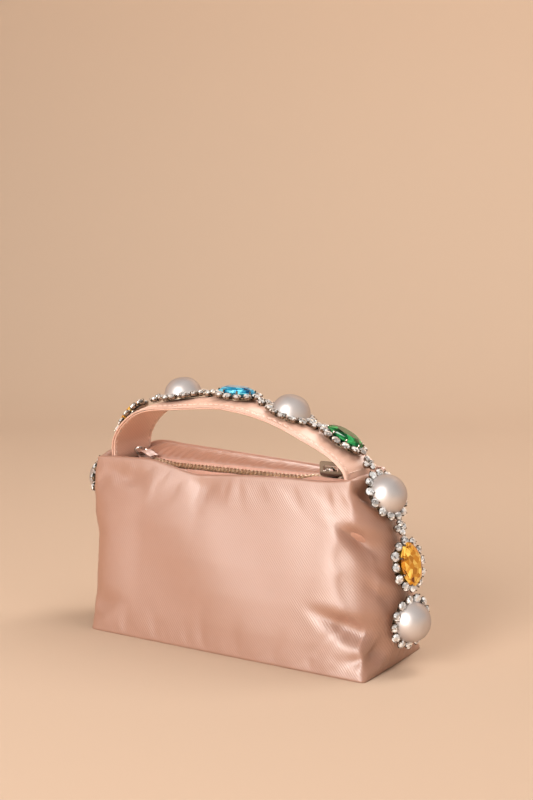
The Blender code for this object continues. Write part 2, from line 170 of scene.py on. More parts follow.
def distances(points):
    """How far each point of a line is from its start, measured along the line."""
    return np.concatenate([[0.0], np.cumsum(np.linalg.norm(np.diff(points, axis=0), axis=1))])


def along_line(points, count):
    """The same open line with count + 1 evenly spaced points."""
    lengths = distances(points)
    targets = np.linspace(0.0, lengths[-1], count + 1)
    return np.stack([np.interp(targets, lengths, p) for p in points.T], axis=1)


def smoothstep(low, high, value):
    share = np.clip((value - low) / (high - low), 0.0, 1.0)
    return share * share * (3.0 - 2.0 * share)


def bell(value, middle, width):
    return np.exp(-(((value - middle) / width) ** 2))


# ---------------------------------------------------------------- making pieces


BAG = bpy.data.collections.new("evening_bag_looks")
bpy.context.scene.collection.children.link(BAG)


def new_piece(name, points, faces, material, smooth=True, uv=None):
    """A mesh object from points in millimetres; uv is one (u, v) for each point."""
    mesh = bpy.data.meshes.new(name)
    mesh.from_pydata([tuple(p) for p in np.asarray(points) * MM], [], [tuple(f) for f in faces])
    mesh.validate()
    work = bmesh.new()
    work.from_mesh(mesh)
    bmesh.ops.recalc_face_normals(work, faces=work.faces)
    work.to_mesh(mesh)
    work.free()
    mesh.polygons.foreach_set("use_smooth", [smooth] * len(mesh.polygons))
    if uv is not None:
        layer = mesh.uv_layers.new(name="cloth")
        corners = np.zeros(len(mesh.loops), int)
        mesh.loops.foreach_get("vertex_index", corners)
        layer.data.foreach_set("uv", np.asarray(uv, float)[corners].ravel())
    mesh.materials.append(material)
    obj = bpy.data.objects.new(name, mesh)
    BAG.objects.link(obj)
    return obj


def grid_faces(columns, rows):
    """Quads over a grid of (columns + 1) by (rows + 1) points, rows running fastest."""
    starts = [i * (rows + 1) + j for i in range(columns) for j in range(rows)]
    return [(a, a + rows + 1, a + rows + 2, a + 1) for a in starts]


def ring_faces(a, b, count):
    """Quads between two rings of count points, whose first points are a and b."""
    return [(a + i, a + (i + 1) % count, b + (i + 1) % count, b + i) for i in range(count)]


def sheet(name, grid, material, thickness):
    """A cloth sheet from a grid of points [column, row, xyz], thickened to both sides."""
    columns, rows = grid.shape[0] - 1, grid.shape[1] - 1
    uv = grid_lengths(grid).reshape(-1, 2)
    obj = new_piece(name, grid.reshape(-1, 3), grid_faces(columns, rows), material, uv=uv)
    subdivide(obj)
    solid = obj.modifiers.new("thickness", "SOLIDIFY")
    solid.thickness = thickness * MM
    solid.offset = 0.0
    return obj


def subdivide(obj):
    modifier = obj.modifiers.new("smooth", "SUBSURF")
    modifier.levels = 1
    modifier.render_levels = 1


def grid_lengths(grid):
    """(u, v) in millimetres over a grid: the distance along its middle row and column."""
    u = distances(grid[:, grid.shape[1] // 2])
    v = distances(grid[grid.shape[0] // 2])
    return np.stack(np.meshgrid(u, v, indexing="ij"), axis=2)


def grid_normals(grid):
    normal = np.cross(np.gradient(grid, axis=0), np.gradient(grid, axis=1))
    return normal / np.maximum(np.linalg.norm(normal, axis=2, keepdims=True), 1e-9)


def outward_normals(grid):
    """The normals of a grid over the pouch wall, all pointing out of the bag."""
    normals = grid_normals(grid)
    return -normals if normals[COLUMNS // 2, grid.shape[1] // 3, 1] > 0 else normals


class Parts:
    """Collects many small shapes into one mesh."""

    def __init__(self):
        self.points = []
        self.faces = []

    def add(self, points, faces, matrix):
        base = len(self.points)
        self.points += [matrix @ Vector(p) for p in points]
        self.faces += [tuple(base + i for i in f) for f in faces]

    def piece(self, name, material, smooth=True):
        return new_piece(name, self.points, self.faces, material, smooth)


def turned(profile, count, oval=(1.0, 1.0), close=True):
    """Rings of count points joined into a skin with flat ends.

    A ring is (radius, z), or (radius, z, turn) with its turn in steps from point to point.
    """
    points, faces = [], []
    for level, (radius, z, *turn) in enumerate(profile):
        for i in range(count):
            angle = 2.0 * math.pi * (i + (turn[0] if turn else 0.0)) / count
            points.append((radius * oval[0] * math.cos(angle), radius * oval[1] * math.sin(angle), z))
        if level:
            faces += ring_faces((level - 1) * count, level * count, count)
    if close:
        faces.append(tuple(reversed(range(count))))
        faces.append(tuple(range(len(points) - count, len(points))))
    return points, faces


def assign(obj, slot, body, *nodes):
    """Says which body carries a piece and which CAD nodes it stands for; slot is not used."""
    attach(obj, body)
    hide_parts(*nodes)


# ---------------------------------------------------------------- node helpers


def srgb(*values):
    """A linear colour from 0-255 display values."""
    return tuple((v / 255.0 / 12.92) if v < 10.3 else ((v / 255.0 + 0.055) / 1.055) ** 2.4 for v in values)


class Nodes:
    """Short calls for building a material's node tree."""

    def __init__(self, name):
        self.material = bpy.data.materials.new(name)
        self.material.use_nodes = True
        self.tree = self.material.node_tree
        self.shader = self.tree.nodes["Principled BSDF"]

    def plug(self, source, socket):
        if isinstance(source, (int, float)):
            socket.default_value = source
        elif isinstance(source, tuple):
            socket.default_value = (*source, 1.0)[: len(socket.default_value)]
        else:
            self.tree.links.new(source, socket)

    def node(self, kind, **settings):
        made = self.tree.nodes.new(kind)
        for key, setting in settings.items():
            setattr(made, key, setting)
        return made

    def math(self, operation, a, b=0.0):
        made = self.node("ShaderNodeMath", operation=operation)
        self.plug(a, made.inputs[0])
        self.plug(b, made.inputs[1])
        return made.outputs[0]

    def mix(self, share, a, b):
        made = self.node("ShaderNodeMix", data_type="RGBA")
        self.plug(share, made.inputs["Factor"])
        self.plug(a, made.inputs["A"])
        self.plug(b, made.inputs["B"])
        return made.outputs["Result"]

    def noise(self, vector, scale, detail):
        made = self.node("ShaderNodeTexNoise")
        made.inputs["Scale"].default_value = scale
        made.inputs["Detail"].default_value = detail
        self.tree.links.new(vector, made.inputs["Vector"])
        return made.outputs["Fac"]

    def cells(self, vector, scale, randomness=1.0):
        """The channels of a colour that differs from cell to cell."""
        made = self.node("ShaderNodeTexVoronoi")
        made.inputs["Scale"].default_value = scale
        made.inputs["Randomness"].default_value = randomness
        self.tree.links.new(vector, made.inputs["Vector"])
        split = self.node("ShaderNodeSeparateColor")
        self.tree.links.new(made.outputs["Color"], split.inputs[0])
        return split.outputs

    def spread(self, source, low, high):
        """Maps 0..1 to low..high."""
        made = self.node("ShaderNodeMapRange")
        self.plug(source, made.inputs["Value"])
        made.inputs["To Min"].default_value = low
        made.inputs["To Max"].default_value = high
        return made.outputs[0]

    def uv(self):
        return self.node("ShaderNodeUVMap", uv_map="cloth").outputs[0]

    def place(self):
        return self.node("ShaderNodeTexCoord").outputs["Object"]

    def along(self, vector, direction):
        dot = self.node("ShaderNodeVectorMath", operation="DOT_PRODUCT")
        self.tree.links.new(vector, dot.inputs[0])
        dot.inputs[1].default_value = direction
        return dot.outputs["Value"]

    def stripes(self, vector, direction, pitch):
        """0..1 lines across direction, pitch apart in the vector's own units."""
        length = math.hypot(*direction)
        turns = self.along(vector, (*(2.0 * math.pi * d / length / pitch for d in direction), 0.0))
        wave = self.math("SINE", turns)
        return self.spread(self.math("ADD", self.math("MULTIPLY", wave, 0.5), 0.5), 0.0, 1.0)

    def bump(self, height, distance_mm, strength):
        made = self.node("ShaderNodeBump")
        made.inputs["Strength"].default_value = strength
        made.inputs["Distance"].default_value = distance_mm * MM
        self.plug(height, made.inputs["Height"])
        return made.outputs[0]

    def finish(self, color, roughness, metallic=0.0, normal=None, **extra):
        self.plug(color, self.shader.inputs["Base Color"])
        self.plug(roughness, self.shader.inputs["Roughness"])
        self.plug(metallic, self.shader.inputs["Metallic"])
        if normal is not None:
            self.tree.links.new(normal, self.shader.inputs["Normal"])
        for key, setting in extra.items():
            self.plug(setting, self.shader.inputs[key.replace("_", " ")])
        if isinstance(color, tuple):
            self.material.diffuse_color = (*color, 1.0)
        return self.material


# ---------------------------------------------------------------- materials


def satin_material(name, color, shade):
    """Duchess satin: fine diagonal lines over a close weave, a broad soft sheen."""
    n = Nodes(name)
    uv = n.uv()
    wander = n.noise(uv, 0.05, 3.0)
    twill = n.stripes(uv, (0.82, 0.57), 1.2)
    weave = n.stripes(uv, (-0.57, 0.82), 0.5)
    slub = n.noise(uv, 1.3, 3.0)
    height = n.math("ADD", twill, n.math("MULTIPLY", weave, 0.35))
    height = n.math("ADD", height, n.math("MULTIPLY", slub, 0.4))
    normal = n.bump(height, 0.06, 0.9)
    base = n.mix(n.spread(wander, 0.15, 0.85), color, shade)
    base = n.mix(n.math("MULTIPLY", n.math("SUBTRACT", 1.0, twill), 0.14), base, srgb(140, 84, 64))
    tangent = n.node("ShaderNodeTangent", direction_type="UV_MAP", uv_map="cloth").outputs[0]
    rough = n.spread(slub, 0.44, 0.54)
    return n.finish(
        base, rough, normal=normal, Tangent=tangent, Anisotropic=0.3, Anisotropic_Rotation=0.25,
        IOR=2.0, Specular_IOR_Level=0.9, Specular_Tint=srgb(255, 250, 247),
        Sheen_Weight=0.08, Sheen_Roughness=0.35, Sheen_Tint=srgb(255, 232, 222),
    )


def woven_material(name, color, dark, pitch, roughness, depth):
    """A plain woven cloth, its threads crossing at right angles."""
    n = Nodes(name)
    uv = n.uv()
    across = n.stripes(uv, (1.0, 0.0), pitch)
    along = n.stripes(uv, (0.0, 1.0), pitch)
    weave = n.math("MULTIPLY", across, along)
    fuzz = n.noise(uv, 2.2, 4.0)
    height = n.math("ADD", weave, n.math("MULTIPLY", fuzz, 0.6))
    base = n.mix(n.spread(fuzz, 0.0, 0.7), color, dark)
    base = n.mix(n.math("MULTIPLY", n.math("SUBTRACT", 1.0, weave), 0.16), base, dark)
    return n.finish(base, roughness, normal=n.bump(height, depth, 0.8), Sheen_Weight=0.2)


def thread_material():
    n = Nodes("thread_looks")
    twist = n.noise(n.place(), 2600.0, 2.0)
    base = n.mix(twist, srgb(250, 226, 210), srgb(218, 178, 158))
    return n.finish(base, 0.5, normal=n.bump(twist, 0.06, 0.7), Sheen_Weight=0.25)


def metal_material(name, bright, dull, dark, roughness):
    """Plated metal with faint handling marks and a painted reflection of the room."""
    n = Nodes(name)
    place = n.place()
    cloud = n.noise(place, 260.0, 4.0)
    scratch = n.noise(place, 2400.0, 2.0)
    base = n.mix(n.spread(cloud, 0.0, 0.8), bright, dull)
    # painted reflection: patches of light and dark, painted into the colour and moving with the viewing
    # angle, stand in for the room seen in a polished face
    room = n.noise(n.node("ShaderNodeTexCoord").outputs["Reflection"], 3.4, 1.5)
    base = n.mix(n.spread(room, -1.5, 2.3), base, dark)
    rough = n.spread(cloud, roughness * 0.75, roughness * 1.35)
    return n.finish(base, rough, 1.0, n.bump(scratch, 0.004, 0.35))


def pearl_material():
    """Pearl lacquer over a white bead: soft layers, warm below, and a painted grey-rose shade towards its
    rim, where the bead turns from view.
    """
    n = Nodes("pearl_looks")
    facing = n.node("ShaderNodeLayerWeight")
    facing.inputs["Blend"].default_value = 0.35
    edge = facing.outputs["Facing"]
    cloud = n.noise(n.place(), 120.0, 3.0)
    base = n.mix(n.spread(cloud, 0.0, 0.5), srgb(228, 221, 217), srgb(222, 211, 204))
    # painted shade: the colour darkens to a grey rose where the bead turns away from view
    base = n.mix(n.math("MULTIPLY", edge, 0.9), base, srgb(148, 129, 127))
    return n.finish(
        base, n.spread(cloud, 0.4, 0.46), 0.7, n.bump(cloud, 0.02, 0.2),
        Coat_Weight=0.3, Coat_Roughness=0.25, Specular_IOR_Level=0.5,
    )


def stone_material():
    """Clear cut glass on a silver foil: its facets painted bright and dark as painted reflections, a few of
    them glowing as painted glints.
    """
    n = Nodes("clear_stone_looks")
    cells = n.cells(n.place(), 900.0)
    # painted reflections: each facet cell is given a tone between a dark grey and white
    base = n.mix(n.math("POWER", cells[0], 0.9), srgb(128, 116, 106), srgb(255, 254, 252))
    # painted glints: a few bright cells glow white, though they are no lamp
    painted_glint = n.math("MULTIPLY", n.math("POWER", cells[1], 3.0), 0.6)
    return n.finish(
        base, 0.06, 0.6, Coat_Weight=1.0, Coat_Roughness=0.02,
        Emission_Color=srgb(255, 252, 246), Emission_Strength=painted_glint,
    )


def crystal_material(name, deep, body, painted_flash):
    """A foiled coloured crystal: the light each facet throws back, broken by the cut below it, is painted
    into its colour, from a shaded deep tone through its body colour to a painted highlight, and that colour
    glows faintly.
    """
    n = Nodes(name)
    # painted light and shade: each facet gets its tone from the way it faces, as light would give it
    facet = n.noise(n.node("ShaderNodeNewGeometry").outputs["True Normal"], 4.5, 1.0)
    cells = n.cells(n.uv(), 0.33, 0.8)
    wide = n.math("MULTIPLY", n.math("SUBTRACT", facet, 0.5), 1.9)
    tone = n.math("ADD", wide, n.spread(cells[0], 0.22, 0.78))
    ramp = n.node("ShaderNodeValToRGB")
    stops = ramp.color_ramp.elements
    stops[0].position, stops[0].color = 0.12, (*deep, 1.0)
    stops[1].position, stops[1].color = 0.93, (*painted_flash, 1.0)
    middle = stops.new(0.5)
    middle.color = (*body, 1.0)
    n.tree.links.new(tone, ramp.inputs[0])
    # painted light: the facets' colour also glows a little
    return n.finish(
        ramp.outputs[0], 0.1, 0.3, Coat_Weight=0.5, Coat_Roughness=0.03,
        Emission_Color=ramp.outputs[0], Emission_Strength=0.14,
    )


def board_material():
    n = Nodes("board_looks")
    fleck = n.noise(n.place(), 700.0, 5.0)
    base = n.mix(fleck, srgb(150, 140, 128), srgb(108, 98, 88))
    return n.finish(base, 0.92, normal=n.bump(fleck, 0.08, 0.5))


def backdrop_material():
    """Plain warm paper that glows towards the edges that the softboxes don't reach, a painted light that
    keeps it evenly bright there.
    """
    n = Nodes("backdrop_paper")
    place = n.place()
    grain = n.noise(place, 900.0, 3.0)
    base = n.mix(n.spread(grain, 0.0, 0.06), srgb(196, 169, 145), srgb(186, 158, 134))
    turn = math.radians(CAMERA_TURN)
    aside = n.along(place, (math.cos(turn), math.sin(turn), 0.0))
    nearer = n.along(place, (math.sin(turn), -math.cos(turn), 0.0))
    reach = n.math("MAXIMUM", n.math("ABSOLUTE", aside), nearer)
    # painted light: the paper glows more where it lies farther than 0.9 m beside the bag or towards the
    # camera
    glow = n.spread(n.math("DIVIDE", n.math("SUBTRACT", reach, 0.9), 1.3), 0.0, 0.5)
    return n.finish(
        base, 0.85, normal=n.bump(grain, 0.05, 0.15),
        Emission_Color=srgb(230, 195, 165), Emission_Strength=glow,
    )


def make_materials():
    mats = {
        "thread": thread_material(), "pearl": pearl_material(), "stone": stone_material(),
        "board": board_material(), "backdrop": backdrop_material(),
    }
    # painted light: the strap's outer face and underside are the same satin as the pouch, given lighter
    # copies of it that stand in for the light reaching the strap
    for key, color, shade in (
        ("satin", srgb(162, 114, 90), srgb(154, 106, 82)),
        ("satin_painted_lighter_strap", srgb(222, 176, 152), srgb(214, 166, 142)),
        ("satin_painted_lighter_under", srgb(242, 196, 170), srgb(234, 186, 160)),
    ):
        mats[key] = satin_material(key + "_looks", color, shade)
    for key, name, color, dark, *weave in (
        ("lining", "lining_looks", srgb(196, 148, 124), srgb(160, 112, 90), 0.5, 0.7, 0.05),
        ("tape", "zip_tape_looks", srgb(222, 176, 156), srgb(184, 132, 110), 0.7, 0.8, 0.12),
    ):
        mats[key] = woven_material(name, color, dark, *weave)
    # each metal's dark colour is a painted reflection of the room's dark parts; bright and dull are its
    # plating, varying at random
    for key, bright, dull, dark, roughness in (
        ("silver", srgb(240, 236, 228), srgb(196, 188, 178), srgb(82, 70, 62), 0.14),
        ("zip_metal", srgb(255, 240, 218), srgb(228, 208, 184), srgb(176, 152, 130), 0.36),
        ("cup", srgb(206, 192, 174), srgb(150, 134, 116), srgb(74, 62, 52), 0.22),
    ):
        mats[key] = metal_material(key + "_looks", bright, dull, dark, roughness)
    # body is each crystal's own colour; deep is its darker tone with painted shade, and the last colour is a
    # painted highlight
    for key, deep, body, painted_flash in (
        ("amber", srgb(112, 56, 4), srgb(206, 132, 26), srgb(255, 216, 104)),
        ("blue", srgb(0, 58, 96), srgb(10, 138, 176), srgb(112, 214, 232)),
        ("green", srgb(0, 34, 16), srgb(6, 92, 44), srgb(56, 168, 92)),
    ):
        mats[key] = crystal_material(key + "_looks", deep, body, painted_flash)
    return mats


# ---------------------------------------------------------------- the pouch


def outline_at(tree, z):
    """The pouch's outer line at height z: evenly spaced, closed, from its left end round the front."""
    reach = 200.0
    rays = 1440
    ends = []
    for side in (-1.0, 1.0):
        hit = tree.ray_cast(Vector((side * reach, 0.0, z)), Vector((-side, 0.0, 0.0)))
        ends.append(hit[0].x)
    middle = Vector((sum(ends) / 2.0, 0.0, z))
    points = []
    for i in range(rays):
        angle = math.pi + 2.0 * math.pi * i / rays
        out = Vector((math.cos(angle), math.sin(angle), 0.0))
        hit = tree.ray_cast(middle + out * reach, -out)
        if hit[0] is not None and (hit[0] - middle).dot(out) > 0.0:
            points.append(hit[0][:2])
    points.append(points[0])
    length = np.linalg.norm(np.diff(np.array(points), axis=0), axis=1).sum()
    count = int(length / FINE_STEP)
    return along_line(np.array(points), count)[:-1], length / count


def front_edge_z(x):
    """Height of the front edge of the mouth."""
    places, heights = zip(*FRONT_EDGE)
    around = np.linspace(-5.0, 5.0, 7)
    blurred = np.interp(np.asarray(x, float)[..., None] + around, places, heights).mean(axis=-1)
    return blurred - HEM_RADIUS


def back_edge_z(x):
    """Height of the back edge of the mouth, lower under the strap's feet."""
    top = cad_box("back_panel")[1][2]
    rise = BACK_SLOPE * (x + 8.0)
    clear = smoothstep(-84.0, -72.0, x) * (1.0 - smoothstep(50.0, 62.0, x))
    return top - 0.9 + rise * clear + 0.5 * bell(x, -68.0, 5.0)


def end_edge_z(x, y):
    """Height of the gussets' top edge, which stands up a little outside the strap's left foot."""
    top = cad_box("left_gusset")[1][2]
    ear = 2.4 * bell(y, -11.0, 4.5) if x < 0 else 0.6 * bell(y, -8.0, 8.0)
    return top + ear


def shell_grid():
    """Points over the whole pouch wall: [column, row, xyz], column 0 and the last at the left end."""
    tree = cad_tree("front_panel", "back_panel", "left_gusset", "right_gusset")
    ceiling = cad_box("left_gusset")[1][2] - 0.4
    heights = np.linspace(0.15, ceiling, ROWS + 1)
    rows = []
    for z in heights:
        fine, step = outline_at(tree, z)
        sharp = smooth_closed(fine, SHARP_CORNER, step)
        soft = smooth_closed(fine, SOFT_CORNER, step)
        share = math.sin(math.pi * min(z / ceiling, 1.0)) ** 0.7
        weight = share * np.where(fine[:, :1] > 0, 1.0, 0.62)
        line = sharp * (1.0 - weight) + soft * weight
        right = next(i for i in range(1, len(line)) if line[i, 0] > 0 and line[i, 1] >= 0.0)
        front = along_line(line[: right + 1], COLUMNS)
        back = along_line(np.vstack([line[right:], line[:1]]), COLUMNS)
        front[[0, -1], 1] = 0.0
        back[[0, -1], 1] = 0.0
        row = np.vstack([front, back[1:]])
        rows.append(np.column_stack([row, np.full(len(row), z)]))
    grid = np.stack(rows, axis=1)
    for i in range(grid.shape[0]):
        x, y, _ = grid[i, -1]
        along_front = smoothstep(-13.0, -18.5, y)
        along_back = smoothstep(13.0, 18.5, y)
        top = end_edge_z(x, y) * (1.0 - along_front - along_back)
        top += front_edge_z(x) * along_front + back_edge_z(x) * along_back
        grid[i, :, 2] *= 1.0 + (top / ceiling - 1.0) * smoothstep(0.35, 1.0, np.linspace(0, 1, ROWS + 1))
    return grid


def pinch(grid, normals, path, width, depth, lip=0.0):
    """Presses a wedge-shaped fold into the cloth along a path of (x, y, z) points.

    It starts as a sharp tip and widens along the path; its lower side is the steeper one, and the
    cloth above it swells by lip.
    """
    points = np.array(path, float)
    best = np.full(grid.shape[:2], 1e9)
    share = np.zeros(grid.shape[:2])
    above = np.zeros(grid.shape[:2])
    lengths = np.linalg.norm(np.diff(points, axis=0), axis=1)
    total = lengths.sum()
    done = 0.0
    for a, b, length in zip(points, points[1:], lengths):
        ahead = (b - a) / length
        t = np.clip((grid - a) @ ahead, 0.0, length)
        away = grid - (a + t[..., None] * ahead)
        distance = np.linalg.norm(away, axis=2)
        closer = distance < best
        best = np.where(closer, distance, best)
        share = np.where(closer, (done + t) / total, share)
        above = np.where(closer, away[..., 2], above)
        done += length
    width_here = width * (0.3 + 1.0 * share)
    steep = 1.0 + 0.25 * smoothstep(0.7, -0.7, above / width_here)
    strength = smoothstep(-0.03, 0.5, share) * (1.0 - smoothstep(0.55, 1.05, share))
    dent = -depth * np.exp(-((best * steep / width_here) ** 2))
    over = ((above - 1.25 * width_here) / (0.8 * width_here)) ** 2
    ridge = lip * np.exp(-(over + (best / width_here / 2.2) ** 2))
    return normals * ((dent + ridge) * strength)[..., None]


def fold_pouch(grid):
    """Dents and folds where the stuffed cloth gives: most at the right end, a few at the left."""
    normals = outward_normals(grid)
    x, y, z = grid[..., 0], grid[..., 1], grid[..., 2]
    moved = np.zeros_like(grid)
    folds = (
        # at the upper corner of the right end, running back under the trim
        ([(60, -26, 77), (67, -24, 73), (74, -21, 68), (82, -13, 61), (87, -3, 55)], 7.5, 6.6, 1.0),
        # the long fold from the lower front round to the right end
        ([(48, -32, 33), (58, -32, 30), (69, -31, 26), (79, -28, 23), (87, -17, 20), (91, -5, 17)],
         9.0, 5.6, 1.2),
        # above the base corner
        ([(72, -33, 8), (79, -31, 9), (86, -22, 11), (91, -8, 14)], 6.5, 4.6, 0.5),
        # the tuck under the strap's right foot
        ([(64, -20, 94), (69, -16, 91), (75, -9, 89), (77, 0, 87)], 6.0, 6.4, 0.3),
        # between the two big folds, on the right end
        ([(79, -24, 48), (86, -15, 39), (91, -5, 31)], 6.0, 2.8, 0.9),
        ([(77, -23, 59), (84, -15, 53), (89, -5, 46)], 5.0, 2.0, 0.7),
        # the lower left, and under the left end of the mouth
        ([(-90, -29, 32), (-82, -31, 21), (-71, -33, 11)], 7.0, 0.9, 0.2),
        ([(-80, -20, 92), (-66, -21, 86), (-52, -23, 84)], 7.0, 1.0, 0.3),
        ([(-34, -22, 91), (-20, -23, 86), (-2, -24, 84)], 8.0, 1.5, 0.4),
        # mirrored, on the back
        ([(58, 25, 76), (67, 24, 70), (76, 20, 63), (84, 11, 58)], 7.5, 4.2, 0.9),
        ([(46, 31, 38), (61, 31, 30), (74, 30, 24), (84, 23, 19), (90, 11, 17)], 8.0, 4.6, 1.1),
        ([(-56, 30, 42), (-70, 30, 32), (-83, 22, 25), (-88, 10, 21)], 8.0, 3.4, 0.9),
        ([(-55, 24, 81), (-69, 23, 75), (-80, 17, 69)], 7.0, 2.8, 0.6),
        ([(-10, 23, 90), (4, 24, 85), (20, 25, 83)], 9.0, 1.6, 0.4),
    )
    for path, width, depth, lip in folds:
        moved += pinch(grid, normals, path, width, depth, lip)
    # the corners of the left end stand out past its middle, least at half height
    corner = smoothstep(-58.0, -84.0, x) * smoothstep(6.0, 22.0, np.abs(y))
    flare = 3.4 + 3.2 * smoothstep(52.0, 66.0, z) + 1.2 * bell(z, 90.0, 8.0)
    moved[..., 0] -= corner * flare
    # the wide faces are a little uneven
    sway = 0.8 * np.sin(x / 23.0 + 0.6) * np.sin(z / 21.0 + 0.4) + 0.4 * np.sin(x / 11.0 + z / 17.0)
    face = smoothstep(10.0, 22.0, np.abs(y)) * np.sin(np.pi * np.clip(z / 97.0, 0, 1))
    moved += normals * (sway * face)[..., None]
    # hardly anything moves at the base and the hem
    hold = smoothstep(0.0, 6.0, z) * (1.0 - 0.75 * smoothstep(88.0, 96.0, z))
    moved[..., 1:] *= hold[..., None]
    moved[..., 0] *= np.where(corner > 0.0, 1.0, hold)
    return grid + moved


def with_hems(grid):
    """Turns the cloth under at the base and over, in a soft roll, at the mouth."""
    middle = np.array([grid[..., 0].mean(), 0.0])
    inward = -grid_normals(grid)
    flat = inward.copy()
    flat[..., 2] = 0.0
    toward = middle - grid[..., :2]
    facing = np.sign((flat[..., :2] * toward).sum(axis=2, keepdims=True))
    flat *= facing
    flat /= np.maximum(np.linalg.norm(flat, axis=2, keepdims=True), 1e-9)
    bottom, top = grid[:, 0], grid[:, -1]
    extra_low = []
    for reach, lift in ((5.0, 0.5), (2.4, 0.1), (0.7, -0.1)):
        row = bottom + flat[:, 1] * reach
        row[:, 2] = 0.32 + lift
        extra_low.append(row)
    extra_high = []
    for angle in (35.0, 75.0, 115.0, 150.0, 180.0):
        turn = math.radians(angle)
        row = top + flat[:, -2] * HEM_RADIUS * (1.0 - math.cos(turn))
        row[:, 2] += HEM_RADIUS * math.sin(turn)
        extra_high.append(row)
    last = extra_high[-1].copy()
    last[:, 2] -= 5.0
    extra_high.append(last)
    rows = [*extra_low, *(grid[:, j] for j in range(grid.shape[1])), *extra_high]
    return np.stack(rows, axis=1)


def settle_cloth(grid):
    """Lets Blender's cloth loosen the wall between its held edges, so that it creases as cloth does."""
    columns, rows = grid.shape[0] - 1, grid.shape[1] - 1
    loop = grid[:-1]
    count = columns * (rows + 1)
    faces = [tuple(corner % count for corner in face) for face in grid_faces(columns, rows)]
    mesh = bpy.data.meshes.new("cloth_trial")
    mesh.from_pydata([tuple(p) for p in loop.reshape(-1, 3) * MM], [], faces)
    obj = bpy.data.objects.new("cloth_trial", mesh)
    bpy.context.scene.collection.objects.link(obj)
    pins = obj.vertex_groups.new(name="pins")
    for i in range(columns):
        for j in (0, 1, rows - 1, rows):
            pins.add([i * (rows + 1) + j], 1.0, "REPLACE")
    cloth = obj.modifiers.new("cloth", "CLOTH")
    for key, setting in (
        ("quality", 6), ("mass", 0.15), ("tension_stiffness", 30.0), ("compression_stiffness", 12.0),
        ("shear_stiffness", 8.0), ("bending_stiffness", 3.0), ("shrink_min", -0.008),
        ("use_pressure", True), ("uniform_pressure_force", 0.8), ("vertex_group_mass", "pins"),
    ):
        setattr(cloth.settings, key, setting)
    cloth.settings.effector_weights.gravity = 0.0
    cloth.collision_settings.use_collision = False
    scene = bpy.context.scene
    for number in range(1, 19):
        scene.frame_set(number)
    graph = bpy.context.evaluated_depsgraph_get()
    result = obj.evaluated_get(graph).data
    after = np.array([v.co for v in result.vertices]).reshape(loop.shape) / MM
    scene.frame_set(1)
    bpy.data.objects.remove(obj, do_unlink=True)
    step = after - loop
    size = np.linalg.norm(step, axis=2, keepdims=True)
    # the wide faces are drawn tighter than the ends
    most = 0.3 + 1.8 * smoothstep(52.0, 76.0, np.abs(loop[..., :1] + 4.0))
    step *= most / np.maximum(size + most, 1e-6)
    settled = loop + step
    return np.vstack([settled, settled[:1]])


def make_pouch(mats):
    """The satin wall in two halves, its lining and its base."""
    grid = shell_grid()
    grid = settle_cloth(grid)
    grid = fold_pouch(grid)
    hemmed = with_hems(grid)
    for word, half, nodes in (
        ("front", hemmed[: COLUMNS + 1], ("front_panel", "right_gusset")),
        ("back", hemmed[COLUMNS:], ("back_panel", "left_gusset")),
    ):
        obj = sheet("satin_" + word, half, mats["satin"], CLOTH)
        bend_with_mouth(obj)
        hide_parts(*nodes)
    make_lining(mats, grid)
    make_pocket(mats)
    make_base(mats)


def bend_with_mouth(obj):
    """Bakes the piece's placement into its mesh."""
    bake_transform(obj)


def make_lining(mats, grid):
    """A soft lining hung inside each half of the wall, a little rippled at its top."""
    top = cad_box("lining_front")[1][2]
    low = cad_box("lining_base")[1][2]
    picked = grid[:, 2:]
    normals = outward_normals(picked)
    inner = picked - normals * 2.4
    share = (picked[..., 2] - picked[:, :1, 2]) / (picked[:, -1:, 2] - picked[:, :1, 2])
    inner[..., 2] = low + 0.4 + share * (top - low)
    ripple = 0.35 * np.sin(picked[..., 0] / 4.3 + picked[..., 2] / 11.0) * bell(share, 1.0, 0.35)
    inner -= normals * np.abs(ripple)[..., None]
    for word, half, nodes in (
        ("front", inner[: COLUMNS + 1], ("lining_front", "lining_right")),
        ("back", inner[COLUMNS:], ("lining_back", "lining_left")),
    ):
        obj = sheet("lining_drop_" + word, half[::2], mats["lining"], 0.5)
        bend_with_mouth(obj)
        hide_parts(*nodes)


def make_pocket(mats):
    """A slip pocket on the back lining, its mouth a little open."""
    low, high = cad_box("slip_pocket")
    columns, rows = 36, 18
    pocket = np.zeros((columns + 1, rows + 1, 3))
    for i in range(columns + 1):
        u = i / columns
        for j in range(rows + 1):
            v = j / rows
            x, _, z = low + (high - low) * (u, 0.0, v)
            edge = min(u, 1.0 - u) * 2.0
            belly = 0.5 * math.sin(math.pi * edge / 2.0) * v + 0.12 * math.sin(9.0 * u + 4.0 * v)
            wall = np.interp(z, [low[2], high[2]], [high[1], high[1] - 6.3])
            pocket[i, j] = (x, wall - 2.2 - belly - (0.5 if v > 0.93 else 0.0), z)
    assign(sheet("slip_pocket_cloth", pocket, mats["lining"], 0.4), "lining", "back_half", "slip_pocket")


def make_base(mats):
    """The satin under the bag and the lining cloth over its board, both slightly slack."""
    columns, rows = 60, 26
    u, v = np.meshgrid(np.linspace(-1, 1, columns + 1), np.linspace(-1, 1, rows + 1), indexing="ij")
    corner = 1.0 - 0.03 * (u * v) ** 8
    for name, node, cloth, sag in (
        ("base_cloth", "base_panel", "satin", 0.12),
        ("base_lining_cloth", "lining_base", "lining", 0.35),
    ):
        low, high = cad_box(node)
        middle = (low + high) / 2.0
        half = (high - low) / 2.0
        x = middle[0] + half[0] * u * corner
        y = middle[1] + half[1] * v * corner
        slack = sag * np.sin(x / 9.0) * np.sin(y / 7.0 + 0.5) * (1 - u**8) * (1 - v**8)
        obj = sheet(name, np.stack([x, y, middle[2] + slack], axis=2), mats[cloth], 0.6)
        assign(obj, cloth, "pouch", node)


# ---------------------------------------------------------------- the mouth and the zip


